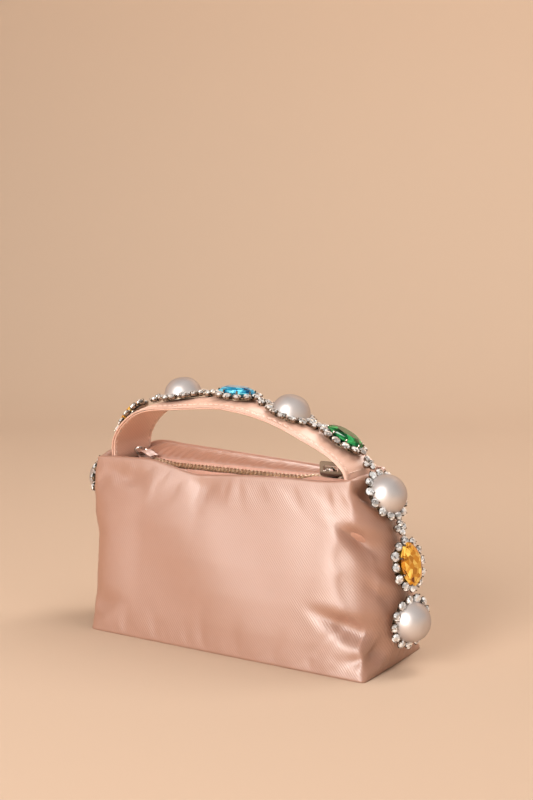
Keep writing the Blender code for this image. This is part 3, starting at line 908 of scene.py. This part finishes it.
def zip_sag(x):
    """The closed zip hangs below its line between the slider and the far stop: turn and drop."""
    share = smoothstep(42.0, 24.0, x) * smoothstep(-72.0, -52.0, x)
    return ZIP_TILT * share, ZIP_DROP * share


def front_slack(x):
    """How much lower the front tape and facing lie near the slider."""
    return 1.6 * smoothstep(18.0, 36.0, x)


def make_facings(mats):
    """The bands between the mouth's edges and the zip, puckered by the seam beside the tape."""
    tape = cad_box("zip_tape_back")[1][2]
    columns, rows = 180, 12
    for word, side in SIDES:
        front = side < 0
        low, high = cad_box(word + "_facing")
        edge_z, edge_lift = (front_edge_z, -0.4) if front else (back_edge_z, 0.2)
        fullness, gather = (0.2, 0.3) if front else (1.0, 0.62)
        points = np.zeros((columns + 1, rows + 1, 3))
        for i in range(columns + 1):
            x = low[0] - 1.5 + (high[0] - low[0] + 3.0) * i / columns
            outer = np.array([x, side * 17.0, edge_z(x) + edge_lift])
            tilt, drop = zip_sag(x)
            climb = side * 6.6 * math.sin(tilt) - drop
            seam_lift = -1.3 - front_slack(x) if front else 0.6
            inner = np.array([x, side * 6.2, tape + climb + seam_lift])
            for j in range(rows + 1):
                v = j / rows
                pillow = fullness * math.sin(math.pi * v) ** 0.8
                pull = math.sin(2.0 * math.pi * (x + 5.5 * v) / 4.8) + 0.5 * math.sin(x / 1.9 + 1.0)
                hold = (0.25 + 0.75 * v) * math.sin(math.pi * min(1.0, v * 1.06)) ** 0.5
                tuck = 0.8 if v > 0.94 else 0.0
                points[i, j] = outer + (inner - outer) * v
                points[i, j, 2] += pillow + gather * pull * hold - tuck
        obj = sheet(f"facing_{word}_cloth", points, mats["satin"], 0.5)
        assign(obj, "satin", word + "_half", word + "_facing")


def tooth(skew):
    """One zip tooth lying along +Y, its foot at y = 0: wider at its tip, softened corners."""
    corners = ((-1, -0.6), (-0.6, -1), (0.6, -1), (1, -0.6), (1, 0.6), (0.6, 1), (-0.6, 1), (-1, 0.6))
    sections = ((0.0, 0.46, 0.72), (1.2, 0.42, 0.9), (2.5, 0.56, 1.0), (3.3, 0.58, 0.9), (3.6, 0.36, 0.6))
    points = []
    for y, wide, tall in sections:
        points += [(sx * wide + skew * y, y, sz * tall * TOOTH_HEIGHT / 2.0) for sx, sz in corners]
    count = len(corners)
    faces = [tuple(reversed(range(count))), tuple(range(len(points) - count, len(points)))]
    for level in range(1, len(sections)):
        faces += ring_faces((level - 1) * count, level * count, count)
    return points, faces


def make_zip(mats):
    low, high = cad_box("zip_teeth_front")
    for word, side in SIDES:
        make_teeth(mats, word, side, (low[2] + high[2]) / 2.0)
        make_tape(mats, word, side, (low[2] + high[2]) / 2.0)


def make_teeth(mats, word, side, middle_z):
    """A row of teeth that follows the sag of the closed zip."""
    low, high = cad_box("zip_teeth_" + word)
    shape = tooth(0.16 * -side)
    spin = Matrix.Rotation(math.pi if side > 0 else 0.0, 4, "Z")
    foot = Matrix.Translation((0.0, side * 2.75, 0.0)) @ spin
    parts = Parts()
    for i in range(int(round((high[0] - low[0] - 0.8) / TOOTH_PITCH)) + 1):
        x = high[0] - 0.4 - i * TOOTH_PITCH
        tilt, drop = zip_sag(x)
        place = Matrix.Translation((x, 0.0, middle_z + 0.2 - drop)) @ Matrix.Rotation(tilt, 4, "X")
        parts.add(*shape, place @ foot)
    obj = parts.piece(f"zip_{word}_teeth_row", mats["zip_metal"])
    soften(obj, 40.0)
    assign(obj, "zip_metal", word + "_half", "zip_teeth_" + word)


def make_tape(mats, word, side, middle_z):
    """The woven tape beside a row of teeth, thick where its cord runs."""
    low, high = cad_box("zip_tape_front")
    columns, rows = 120, 10
    points = np.zeros((columns + 1, rows + 1, 3))
    for i in range(columns + 1):
        x = low[0] + (high[0] - low[0]) * i / columns
        tilt, drop = zip_sag(x)
        for j in range(rows + 1):
            v = j / rows
            y = side * (12.5 - 9.9 * v)
            cord = 0.75 * bell(v, 0.93, 0.09) + 0.3 * bell(v, 0.62, 0.05)
            wave = 0.12 * math.sin(x / 3.1) * v
            slack = (1.2 + front_slack(x)) * smoothstep(-3.4, -6.5, y)
            climb = min(max(y, -7.0), 7.0) * math.sin(tilt) - drop - slack
            points[i, j] = (x, y, middle_z - 0.1 + cord + wave + climb)
    tape = sheet(f"zip_{word}_tape_cloth", points, mats["tape"], 0.5)
    assign(tape, "zip_tape", word + "_half", "zip_tape_" + word)


def soften(obj, degrees):
    obj.data.set_sharp_from_angle(angle=math.radians(degrees))


def bevel(obj, width, segments):
    modifier = obj.modifiers.new("rounded", "BEVEL")
    modifier.width = width * MM
    modifier.segments = segments
    modifier.limit_method = "ANGLE"
    modifier.angle_limit = math.radians(30.0)
    modifier.harden_normals = False


def rounded_rectangle(half_x, half_y, radius, steps=5):
    points = []
    for corner, (sx, sy) in enumerate(((1, 1), (-1, 1), (-1, -1), (1, -1))):
        for i in range(steps + 1):
            angle = math.pi / 2 * (corner + i / steps)
            x = sx * (half_x - radius) + radius * math.cos(angle)
            points.append((x, sy * (half_y - radius) + radius * math.sin(angle)))
    return points


def frame_plate(outer, inner, thickness):
    """A flat plate with a window, in the XY plane."""
    count = len(outer)
    points = [(x, y, z) for z in (-thickness / 2.0, thickness / 2.0) for x, y in outer + inner]
    faces = []
    for a in range(count):
        b = (a + 1) % count
        faces.append((a, count + a, count + b, b))
        faces.append((2 * count + a, 2 * count + b, 3 * count + b, 3 * count + a))
        faces.append((a, b, 2 * count + b, 2 * count + a))
        faces.append((count + a, 3 * count + a, 3 * count + b, count + b))
    return points, faces


def joint_pivot(name):
    joint = next(j for j in frame["joints"] if j["name"] == name)
    return Vector(joint["pos_m"]) / MM


def make_pull(mats):
    """The slider's pull, a plate with a window, and the bar that it swings on."""
    low, high = cad_box("zip_pull")
    middle = (low + high) / 2.0
    half_x, half_z = (high[0] - low[0]) / 2.0, (high[2] - low[2]) / 2.0
    outer = rounded_rectangle(half_x, half_z, 1.1)
    inner = rounded_rectangle(half_x - 2.3, half_z - 2.1, 0.6)
    quarter = Matrix.Rotation(math.pi / 2.0, 4, "X")
    parts = Parts()
    upright = Matrix.Translation((middle[0], low[1] + 0.6, middle[2])) @ quarter
    parts.add(*frame_plate(outer, inner, 1.15), upright)
    pivot = joint_pivot("pull_swing")
    bar = [(0.0, -0.2), (0.4, -0.15), (0.55, 0.1), (0.55, 8.6), (0.4, 8.85), (0.0, 8.9)]
    lying = Matrix.Translation((pivot.x, pivot.y - 7.0, pivot.z)) @ quarter.inverted()
    parts.add(*turned(bar, 14, close=False), lying)
    pull = parts.piece("zip_pull_frame", mats["silver"])
    soften(pull, 35.0)
    bevel(pull, 0.22, 2)
    assign(pull, "polished_metal", "pull", "zip_pull")


def finish_fittings(mats):
    """Materials and rounded edges for the CAD solids that stay in the picture."""
    for node, material, rounding in (
        ("zip_slider", "silver", 0.35), ("zip_bottom_stop", "zip_metal", 0.3),
        ("zip_top_stop_front", "zip_metal", 0.3), ("zip_top_stop_back", "zip_metal", 0.3),
        ("d_ring", "silver", 0.0), ("base_board", "board", 0.0),
    ):
        obj = frame["nodes"][node]
        for slot in obj.material_slots:
            slot.material = mats[material]
        if not obj.material_slots:
            obj.data.materials.append(mats[material])
        if rounding:
            bevel(obj, rounding, 3)
    subdivide(frame["nodes"]["d_ring"])


def make_tab(mats):
    """A folded strip of satin that holds the D-ring: round its bar and down under the facing."""
    low, high = cad_box("ring_tab")
    pivot = joint_pivot("ring_swing")
    columns, rows = 12, 40
    points = np.zeros((columns + 1, rows + 1, 3))
    loop = []
    for i in range(13):
        angle = math.radians(-100.0 - 160.0 * i / 12)
        loop.append((pivot.x + 1.9 * math.cos(angle), pivot.z + 1.9 * math.sin(angle)))
    under = [(high[0] - 0.9, low[2] - 0.2), (pivot.x + 3.0, pivot.z - 1.75)]
    over = [(pivot.x + 3.2, pivot.z + 0.9), (high[0] - 3.4, pivot.z + 0.3), (high[0] - 0.7, low[2] + 0.6)]
    line = along_line(np.array(under + loop + over), rows)
    for i in range(columns + 1):
        u = 2.0 * i / columns - 1.0
        for j in range(rows + 1):
            x, z = line[j]
            crumple = 0.2 * math.sin(4.2 * u + 0.2 * j) * smoothstep(pivot.x + 1.5, high[0], x)
            points[i, j] = (x, u * 3.9, z + crumple)
    tab = sheet("ring_tab_cloth", points, mats["satin"], 0.55)
    assign(tab, "satin", "pouch", "ring_tab")


# ---------------------------------------------------------------- the handle


def strap_line(node):
    """(x, z) along the inner face of a CAD strap layer, from its right foot to its left foot."""
    points = cad_points(node)
    edge = points[points[:, 1] < points[:, 1].min() + 0.5][:, [0, 2]]
    centre = np.array([edge[:, 0].mean(), edge[:, 1].min() - 6.0])
    arms = edge - centre
    order = np.argsort(np.arctan2(arms[:, 1], arms[:, 0]))
    line = edge[order]
    reach = np.linalg.norm(arms[order], axis=1)
    around = 3
    picked = []
    for i in range(len(line)):
        near = range(max(0, i - around), min(len(line), i + around + 1))
        trend = np.polyfit(list(near), [reach[k] for k in near], 1)
        if reach[i] < np.polyval(trend, i):
            picked.append(line[i])
    return smooth_open(along_line(np.array(picked), 220), 3.0)


def smooth_open(line, sigma):
    """An open line smoothed by a Gaussian of sigma points, its ends kept."""
    reach = int(3 * sigma)
    kernel = bell(np.arange(-reach, reach + 1), 0.0, 1.414 * sigma)
    kernel /= kernel.sum()
    before = 2.0 * line[0] - line[reach:0:-1]
    after = 2.0 * line[-1] - line[-2 : -reach - 2 : -1]
    padded = np.vstack([before, line, after])
    return np.stack([np.convolve(p, kernel, "valid") for p in padded.T], axis=1)


def offset_line(line, offset):
    """Moves an (x, z) line outwards by offset; one value or one for each point."""
    ahead = np.gradient(line, axis=0)
    ahead /= np.linalg.norm(ahead, axis=1, keepdims=True)
    out = np.stack([ahead[:, 1], -ahead[:, 0]], axis=1)
    return line + out * np.reshape(offset, (-1, 1))


def strap_droop(x, y):
    """How far the strap's edges hang below its middle, more so at the front."""
    front = 0.7 + 2.6 * bell(x, -30.0, 34.0)
    back = 0.4 + 0.6 * bell(x, -30.0, 34.0) + 3.4 * bell(x, 42.0, 24.0)
    return (y / STRAP_HALF_WIDTH) ** 2 * (front if y < 0 else back)


def slump(x, z):
    """How far the soft strap stands out from its line, or in if negative: its arch leans to the left."""
    out = 4.2 * bell(x, -68.0, 19.0) - 3.0 * bell(x, 42.0, 28.0) - 1.0 * bell(x, 8.0, 20.0)
    return out * np.where(np.asarray(x) > 0.0, smoothstep(100.0, 120.0, z), smoothstep(93.0, 110.0, z))


def skin_along(name, line, section, material):
    """Sweeps a closed (y, offset) section along an (x, z) line, with flat ends."""
    count, steps = len(section), len(line)
    rings = []
    for y, offset in section:
        moved = offset_line(line, offset - strap_droop(line[:, 0], y))
        rings.append(np.column_stack([moved[:, 0], np.full(steps, y), moved[:, 1]]))
    points = np.stack(rings, axis=1)
    faces = []
    for i in range(1, steps):
        faces += ring_faces((i - 1) * count, i * count, count)
    faces.append(tuple(range(count)))
    faces.append(tuple(reversed(range((steps - 1) * count, steps * count))))
    uv = np.stack(np.meshgrid(distances(line), distances(section), indexing="ij"), axis=2)
    return new_piece(name, points.reshape(-1, 3), faces, material, uv=uv.reshape(-1, 2))


def make_handle(mats):
    line = strap_line("handle_underside")
    base = offset_line(line, slump(line[:, 0], line[:, 1]))
    half = STRAP_HALF_WIDTH

    def outer_section():
        points = []
        for i in range(49):
            y = -half + 2.0 * half * i / 48
            groove = 0.6 * bell(abs(y), half - STITCH_INSET, 0.6)
            crown = 0.3 * (1.0 - (y / half) ** 2)
            points.append((y * 0.985, 2.1 + crown - groove))
        points += [(half, 1.8), (half, 1.35), (half - 0.5, 1.12), (half - 1.3, 1.1), (half - 1.7, 1.35)]
        points += [(-half + 1.7, 1.35), (-half + 1.3, 1.1), (-half + 0.5, 1.12), (-half, 1.35), (-half, 1.8)]
        return points

    def core_section():
        edge = half - 2.2
        return [(-edge, 0.95), (-edge, 1.25), (0.0, 1.3), (edge, 1.25), (edge, 0.95), (0.0, 0.95)]

    def inner_section():
        edge = half - 0.35
        points = [(-edge, 0.5), (-edge + 0.25, 0.85), (edge - 0.25, 0.85), (edge, 0.5), (edge - 0.3, 0.15)]
        for i in range(21):
            y = edge - 0.6 - 2.0 * (edge - 0.6) * i / 20
            groove = 0.3 * bell(abs(y), half - STITCH_INSET, 0.5)
            points.append((y, groove))
        points.append((-edge + 0.3, 0.2))
        return points

    for name, section, node, material in (
        # the strap's satin is painted lighter than the pouch's, standing in for the light on its faces
        ("handle_outer_satin", outer_section(), "handle_strap", "satin_painted_lighter_strap"),
        ("handle_under_satin", inner_section(), "handle_underside", "satin_painted_lighter_under"),
        ("handle_core_strip", core_section(), "handle_core", "board"),
    ):
        obj = skin_along(name, base, section, mats[material])
        soften(obj, 50.0)
        bend_with_handle(obj)
        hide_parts(node)
    make_stitches(mats, base)


def bend_with_handle(obj):
    """Bakes the piece's placement into its mesh."""
    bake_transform(obj)


def make_stitches(mats, base):
    """Lines of thread sunk in the grooves along both faces of the strap, and across its feet."""
    parts = Parts()
    shape = turned([(0.02, -1.15), (0.27, -1.0), (0.33, 0.0), (0.27, 1.0), (0.02, 1.15)], 6)
    edge = STRAP_HALF_WIDTH - STITCH_INSET
    length = np.linalg.norm(np.diff(base, axis=0), axis=1).sum()
    steps = int(length / (STITCH_LENGTH + STITCH_GAP))

    def lay(a, b):
        ahead = (Vector(b) - Vector(a)).normalized()
        spin = Vector((0.0, 0.0, 1.0)).rotation_difference(ahead).to_matrix().to_4x4()
        parts.add(*shape, Matrix.Translation((Vector(a) + Vector(b)) / 2.0) @ spin)

    for offset, y in ((2.05, -edge), (2.05, edge), (0.2, -edge), (0.2, edge)):
        even = along_line(offset_line(base, offset - strap_droop(base[:, 0], y)), steps)
        for i in range(2, steps - 1):
            lay((even[i][0], y, even[i][1]), (even[i + 1][0], y, even[i + 1][1]))
    outer = offset_line(base, 2.25)
    count = int(2.0 * edge / (STITCH_LENGTH + STITCH_GAP))
    for foot in (outer[:60], outer[-60:]):
        x, z = foot[np.argmin(np.abs(foot[:, 1] - FOOT_SEAM))]
        for i in range(count):
            y = -edge + 2.0 * edge * i / count
            lay((x, y + 0.4, z), (x, y + 0.4 + STITCH_LENGTH, z))
    stitches = parts.piece("handle_stitches", mats["thread"])
    bend_with_handle(stitches)


# ---------------------------------------------------------------- the trim


def brilliant(radius, depth):
    """A round cut stone: a flat table, two bands of crown facets and a thin girdle."""
    profile = [(radius * 0.9, 0.0), (radius, depth * 0.35), (radius, depth * 0.45),
               (radius * 0.84, depth * 0.78, 0.5), (radius * 0.5, depth)]
    return turned(profile, 8)


def cup(radius):
    """The round metal cup under a stone, flared to its rim."""
    profile = [(radius * 0.55, 0.0), (radius * 0.78, 0.2), (radius * 0.96, 1.1), (radius * 1.0, 1.35),
               (radius * 0.93, 1.4), (radius * 0.86, 1.1)]
    return turned(profile, 14)


def prong(size):
    return turned([(0.02, -0.75 * size), (0.3 * size, -0.5 * size), (0.4 * size, 0.1 * size),
                   (0.3 * size, 0.5 * size), (0.05 * size, 0.66 * size)], 6)


def oval_spots(half_x, half_y, count):
    """Evenly spaced (x, y) places round an oval."""
    angles = np.linspace(0.0, 2.0 * math.pi, 361)
    oval = np.stack([half_x * np.cos(angles), half_y * np.sin(angles)], axis=1)
    return along_line(oval, count)[:-1]


def set_stone(metal, stones, matrix, radius, rng):
    """One small stone in its cup with four prongs, slightly out of true."""
    tilt = Matrix.Rotation(rng.uniform(-0.16, 0.16), 4, "X")
    tilt = tilt @ Matrix.Rotation(rng.uniform(-0.16, 0.16), 4, "Y")
    spot = matrix @ tilt @ Matrix.Rotation(rng.uniform(0.0, math.pi), 4, "Z")
    metal.add(*cup(radius), spot)
    stones.add(*brilliant(radius * 0.98, 1.75), spot @ Matrix.Translation((0.0, 0.0, 1.15)))
    for k in range(4):
        angle = math.pi / 2.0 * k
        place = Matrix.Translation((radius * math.cos(angle), radius * math.sin(angle), 1.9))
        metal.add(*prong(0.95), spot @ place)


def facing_out(out, origin):
    """A matrix at origin with Z along out and X along the trim."""
    along = np.array([out[2], 0.0, -out[0]])
    matrix = Matrix.Identity(4)
    for index, axis in enumerate((along, np.cross(out, along), out)):
        matrix.col[index][:3] = axis
    matrix.translation = origin
    return matrix


def seat_of(halo, gem):
    """The matrix of a setting from its CAD solids, at the middle of its back, and its half sizes."""
    ring, stone = cad_points(halo), cad_points(gem)
    centre = ring.mean(axis=0)
    out = stone.mean(axis=0) - centre
    out[1] = 0.0
    out /= np.linalg.norm(out)
    matrix = facing_out(out, centre + out * ((ring @ out).min() - centre @ out))
    along = np.array([out[2], 0.0, -out[0]])
    return matrix, np.ptp(ring @ along) / 2.0, np.ptp(ring[:, 1]) / 2.0


def leaned(matrix, number):
    """A seat moved with the slumped strap, turned to the front and slid off the trim's middle line."""
    numbers, *columns = zip(*TRIM_LEAN)
    degrees, forward, out, ahead = (float(np.interp(number, numbers, column)) for column in columns)
    matrix = matrix @ Matrix.Translation((ahead, -forward, 0.0))
    before, here, after = (slump(*(matrix @ Vector((step, 0.0, 0.0))).xz) for step in (-5.0, 0.0, 5.0))
    fall = Matrix.Rotation(math.atan((before - after) / 10.0), 4, "Y")
    lean = Matrix.Rotation(math.radians(degrees), 4, "X")
    return matrix @ Matrix.Translation((0.0, 0.0, here + out)) @ fall @ lean


def gem_size(gem, seat):
    """How high the gem starts above the back of its setting, how tall it is, and half its length."""
    points = cad_points(gem)
    out, along = np.array(seat.col[2][:3]), np.array(seat.col[0][:3])
    start = (points @ out).min() - seat.translation.dot(seat.col[2].to_3d())
    return start, np.ptp(points @ out), np.ptp(points @ along) / 2.0


def pearl_dome(radius, height):
    profile = [(radius * 0.97, 0.0)]
    for i in range(1, 23):
        angle = 0.5 * math.pi * i / 23
        profile.append((radius * math.cos(angle) ** 0.84, height * math.sin(angle)))
    profile.append((0.05, height))
    return turned(profile, 48)


def crystal_stone(half_x, half_y, height):
    """An oval cut crystal: a table, star and main facets, a thin girdle and a deep back."""
    oval = (half_x, half_y)
    profile = [(0.55, 0.0), (0.96, height * 0.42), (1.0, height * 0.5), (1.0, height * 0.56),
               (0.86, height * 0.8, 0.5), (0.6, height)]
    return turned(profile, 12, oval=oval)


def trim_number(node):
    return int(node.split("_")[1])


def make_trim(mats):
    """Every setting in the order of its number, then the small clusters between them."""
    rng = random.Random(7)
    record_bodies = frame["record"]["behaviour"]["bodies"]
    body_of = {node: body for body, nodes in record_bodies.items() for node in nodes}
    gems = [node for node in body_of if node.startswith(("pearl_", "crystal_"))]
    for gem in sorted(gems, key=trim_number):
        make_setting(gem, body_of[gem], mats, rng)
    for link in sorted(node for node in body_of if node.startswith("link_")):
        make_link(link, body_of[link], mats, rng)


def make_setting(gem, body, mats, rng):
    """A pearl or a crystal in its bezel, on a plate, inside a halo of small stones."""
    number = trim_number(gem)
    halo = f"halo_{number}"
    is_pearl = gem.startswith("pearl")
    seat, half_x, half_y = seat_of(halo, gem)
    matrix = leaned(seat, number)
    metal, stones = Parts(), Parts()
    ring = (half_x - STONE_RADIUS, half_y - STONE_RADIUS)
    metal.add(*turned([(1.0, 0.15), (1.0, 0.5), (0.96, 0.62)], 48, oval=ring), matrix)
    for x, y in oval_spots(*ring, HALO_STONES["round" if is_pearl else "oval"]):
        lift = rng.uniform(0.0, 0.35)
        outward = Matrix.Rotation(0.2, 4, Vector((-y, x, 0.0)).normalized())
        spot = matrix @ Matrix.Translation((x, y, 0.7 + lift)) @ outward
        set_stone(metal, stones, spot, STONE_RADIUS * rng.uniform(0.93, 1.03), rng)
    lift, tall, size_x = gem_size(gem, seat)
    size_y = np.ptp(cad_points(gem)[:, 1]) / 2.0
    longer, wider, taller = (1.07, 1.07, 1.22) if is_pearl else (1.12, 1.0, 1.12)
    size_x, size_y, tall = size_x * longer, size_y * wider, tall * taller
    top = matrix @ Matrix.Translation((0.0, 0.0, lift))
    bezel = [(1.0, 0.45), (1.035, 0.5), (1.045, 1.5), (1.02, 1.75), (0.985, 1.6), (0.98, 0.6)]
    metal.add(*turned(bezel, 48, oval=(size_x, size_y)), matrix)
    centre = Parts()
    if is_pearl:
        centre.add(*pearl_dome(size_x, tall), top)
        piece = centre.piece(f"pearl_{number}_bead", mats["pearl"])
        soften(piece, 60.0)
        assign(piece, "pearl", body, gem)
    else:
        kind = gem.rsplit("_", 1)[1]
        points, faces = crystal_stone(size_x, size_y, tall + 0.5)
        centre.add(points, faces, top)
        flat = np.array(points)[:, :2]
        piece = new_piece(f"{gem}_stone", centre.points, centre.faces, mats[kind], smooth=False, uv=flat)
        assign(piece, kind + "_crystal", body, gem)
        for k in range(8):
            angle = 2.0 * math.pi * (k + 0.5) / 8
            at = (size_x * 0.97 * math.cos(angle), size_y * 0.97 * math.sin(angle), tall * 0.62)
            metal.add(*prong(1.5), top @ Matrix.Translation(at))
    finish_setting(halo, body, metal, stones, mats)


def finish_setting(node, body, metal, stones, mats):
    cups = metal.piece(node + "_cups", mats["cup"])
    soften(cups, 40.0)
    glints = stones.piece(node + "_stones", mats["stone"], smooth=False)
    for obj in (cups, glints):
        assign(obj, "cup_chain", body, node)


def make_link(node, body, mats, rng):
    """A cluster of four small stones between two settings, on a short bar."""
    points = cad_points(node)
    centre = points.mean(axis=0)
    flat = (points - centre)[:, [0, 2]]
    _, vectors = np.linalg.eigh(flat.T @ flat)
    out = np.array([vectors[0, 0], 0.0, vectors[1, 0]])
    bag_middle = np.array([0.0, 0.0, 50.0])
    if out @ (centre - bag_middle) < 0:
        out = -out
    matrix = facing_out(out, centre + out * ((points @ out).min() - centre @ out))
    matrix = leaned(matrix, sum(map(int, node.split("_")[1:])) / 2.0)
    metal, stones = Parts(), Parts()
    half_y = np.ptp(points[:, 1]) / 2.0
    metal.add(*turned([(0.8, 0.1), (0.8, 0.5), (0.7, 0.6)], 20, oval=(2.2, half_y)), matrix)
    for x, y in ((0.2, -2.5), (0.0, 2.5), (-2.1, 0.1), (2.2, -0.1)):
        set_stone(metal, stones, matrix @ Matrix.Translation((x, y, 0.5 + 0.3 * abs(x))), 1.85, rng)
    finish_setting(node, body, metal, stones, mats)


# ---------------------------------------------------------------- stage


def make_stage(mats):
    """A seamless paper sweep: flat under the bag, curving up far behind it."""
    half, near, far, radius, tall = 6.0, -6.0, 0.9, 0.7, 4.0
    line = [(near, 0.0), (0.0, 0.0), (far, 0.0)]
    for i in range(1, 17):
        angle = math.pi / 2.0 * i / 16
        line.append((far + radius * math.sin(angle), radius * (1.0 - math.cos(angle))))
    line.append((far + radius, tall))
    turn = Matrix.Rotation(math.radians(CAMERA_TURN), 4, "Z")
    work = bmesh.new()
    rows = [[work.verts.new(turn @ Vector((x, y, z))) for x in (-half, 0.0, half)] for y, z in line]
    for a, b in zip(rows, rows[1:]):
        for i in range(2):
            work.faces.new((a[i], a[i + 1], b[i + 1], b[i]))
    mesh = bpy.data.meshes.new("sweep")
    work.to_mesh(mesh)
    work.free()
    mesh.polygons.foreach_set("use_smooth", [True] * len(mesh.polygons))
    mesh.materials.append(mats["backdrop"])
    sweep = bpy.data.objects.new("sweep", mesh)
    bpy.context.scene.collection.objects.link(sweep)
    return sweep


def area_light(name, place, target, size, power, color, seen):
    """A softbox; seen says whether shiny things reflect it."""
    data = bpy.data.lights.new(name, "AREA")
    data.shape = "RECTANGLE"
    data.size, data.size_y = size
    data.energy = power
    data.color = color
    obj = bpy.data.objects.new(name, data)
    obj.location = place
    obj.visible_glossy = seen
    obj.rotation_euler = (Vector(target) - Vector(place)).to_track_quat("-Z", "Y").to_euler()
    bpy.context.scene.collection.objects.link(obj)
    return obj


def make_lights(sweep):
    """The softboxes; the rear one lights only the cloth and the hardware."""
    lights = {name: area_light(name, *settings) for name, *settings in SOFTBOXES}
    trim = [o for o in bpy.data.objects if o.name.startswith(("pearl_", "crystal_", "halo_", "link_"))]
    unlit = bpy.data.collections.new("not_lit_by_rear")
    for obj in [sweep] + trim:
        unlit.objects.link(obj)
    for entry in unlit.collection_objects:
        entry.light_linking.link_state = "EXCLUDE"
    lights["rear"].light_linking.receiver_collection = unlit


def make_world():
    """Soft light from a room that is warm below and cooler above."""
    world = bpy.data.worlds.new("studio")
    world.use_nodes = True
    tree = world.node_tree
    shade = tree.nodes["Background"]
    shade.inputs["Strength"].default_value = 0.42
    place = tree.nodes.new("ShaderNodeTexCoord")
    split = tree.nodes.new("ShaderNodeSeparateXYZ")
    ramp = tree.nodes.new("ShaderNodeValToRGB")
    ramp.color_ramp.elements[0].color = (0.95, 0.88, 0.83, 1.0)
    ramp.color_ramp.elements[0].position = 0.1
    ramp.color_ramp.elements[1].color = (0.42, 0.41, 0.43, 1.0)
    ramp.color_ramp.elements[1].position = 0.75
    tree.links.new(place.outputs["Generated"], split.inputs[0])
    tree.links.new(split.outputs["Z"], ramp.inputs[0])
    # beyond the paper's edge the room looks like the paper
    mix = tree.nodes.new("ShaderNodeMix")
    mix.data_type = "RGBA"
    tree.links.new(tree.nodes.new("ShaderNodeLightPath").outputs["Is Camera Ray"], mix.inputs["Factor"])
    tree.links.new(ramp.outputs[0], mix.inputs["A"])
    mix.inputs["B"].default_value = (1.5, 1.03, 0.73, 1.0)
    tree.links.new(mix.outputs["Result"], shade.inputs["Color"])
    bpy.context.scene.world = world


def make_camera():
    data = bpy.data.cameras.new("camera")
    data.lens = CAMERA_LENS
    data.sensor_width = 36.0
    obj = bpy.data.objects.new("camera", data)
    obj.location = CAMERA_PLACE
    obj.rotation_euler = (math.radians(CAMERA_TILT), 0.0, math.radians(CAMERA_TURN))
    bpy.context.scene.collection.objects.link(obj)
    bpy.context.scene.camera = obj
    bpy.context.scene.view_settings.view_transform = "Standard"


MATS = make_materials()
make_pouch(MATS)
make_facings(MATS)
make_zip(MATS)
make_pull(MATS)
finish_fittings(MATS)
make_tab(MATS)
make_handle(MATS)
make_trim(MATS)
make_lights(make_stage(MATS))
make_world()
make_camera()
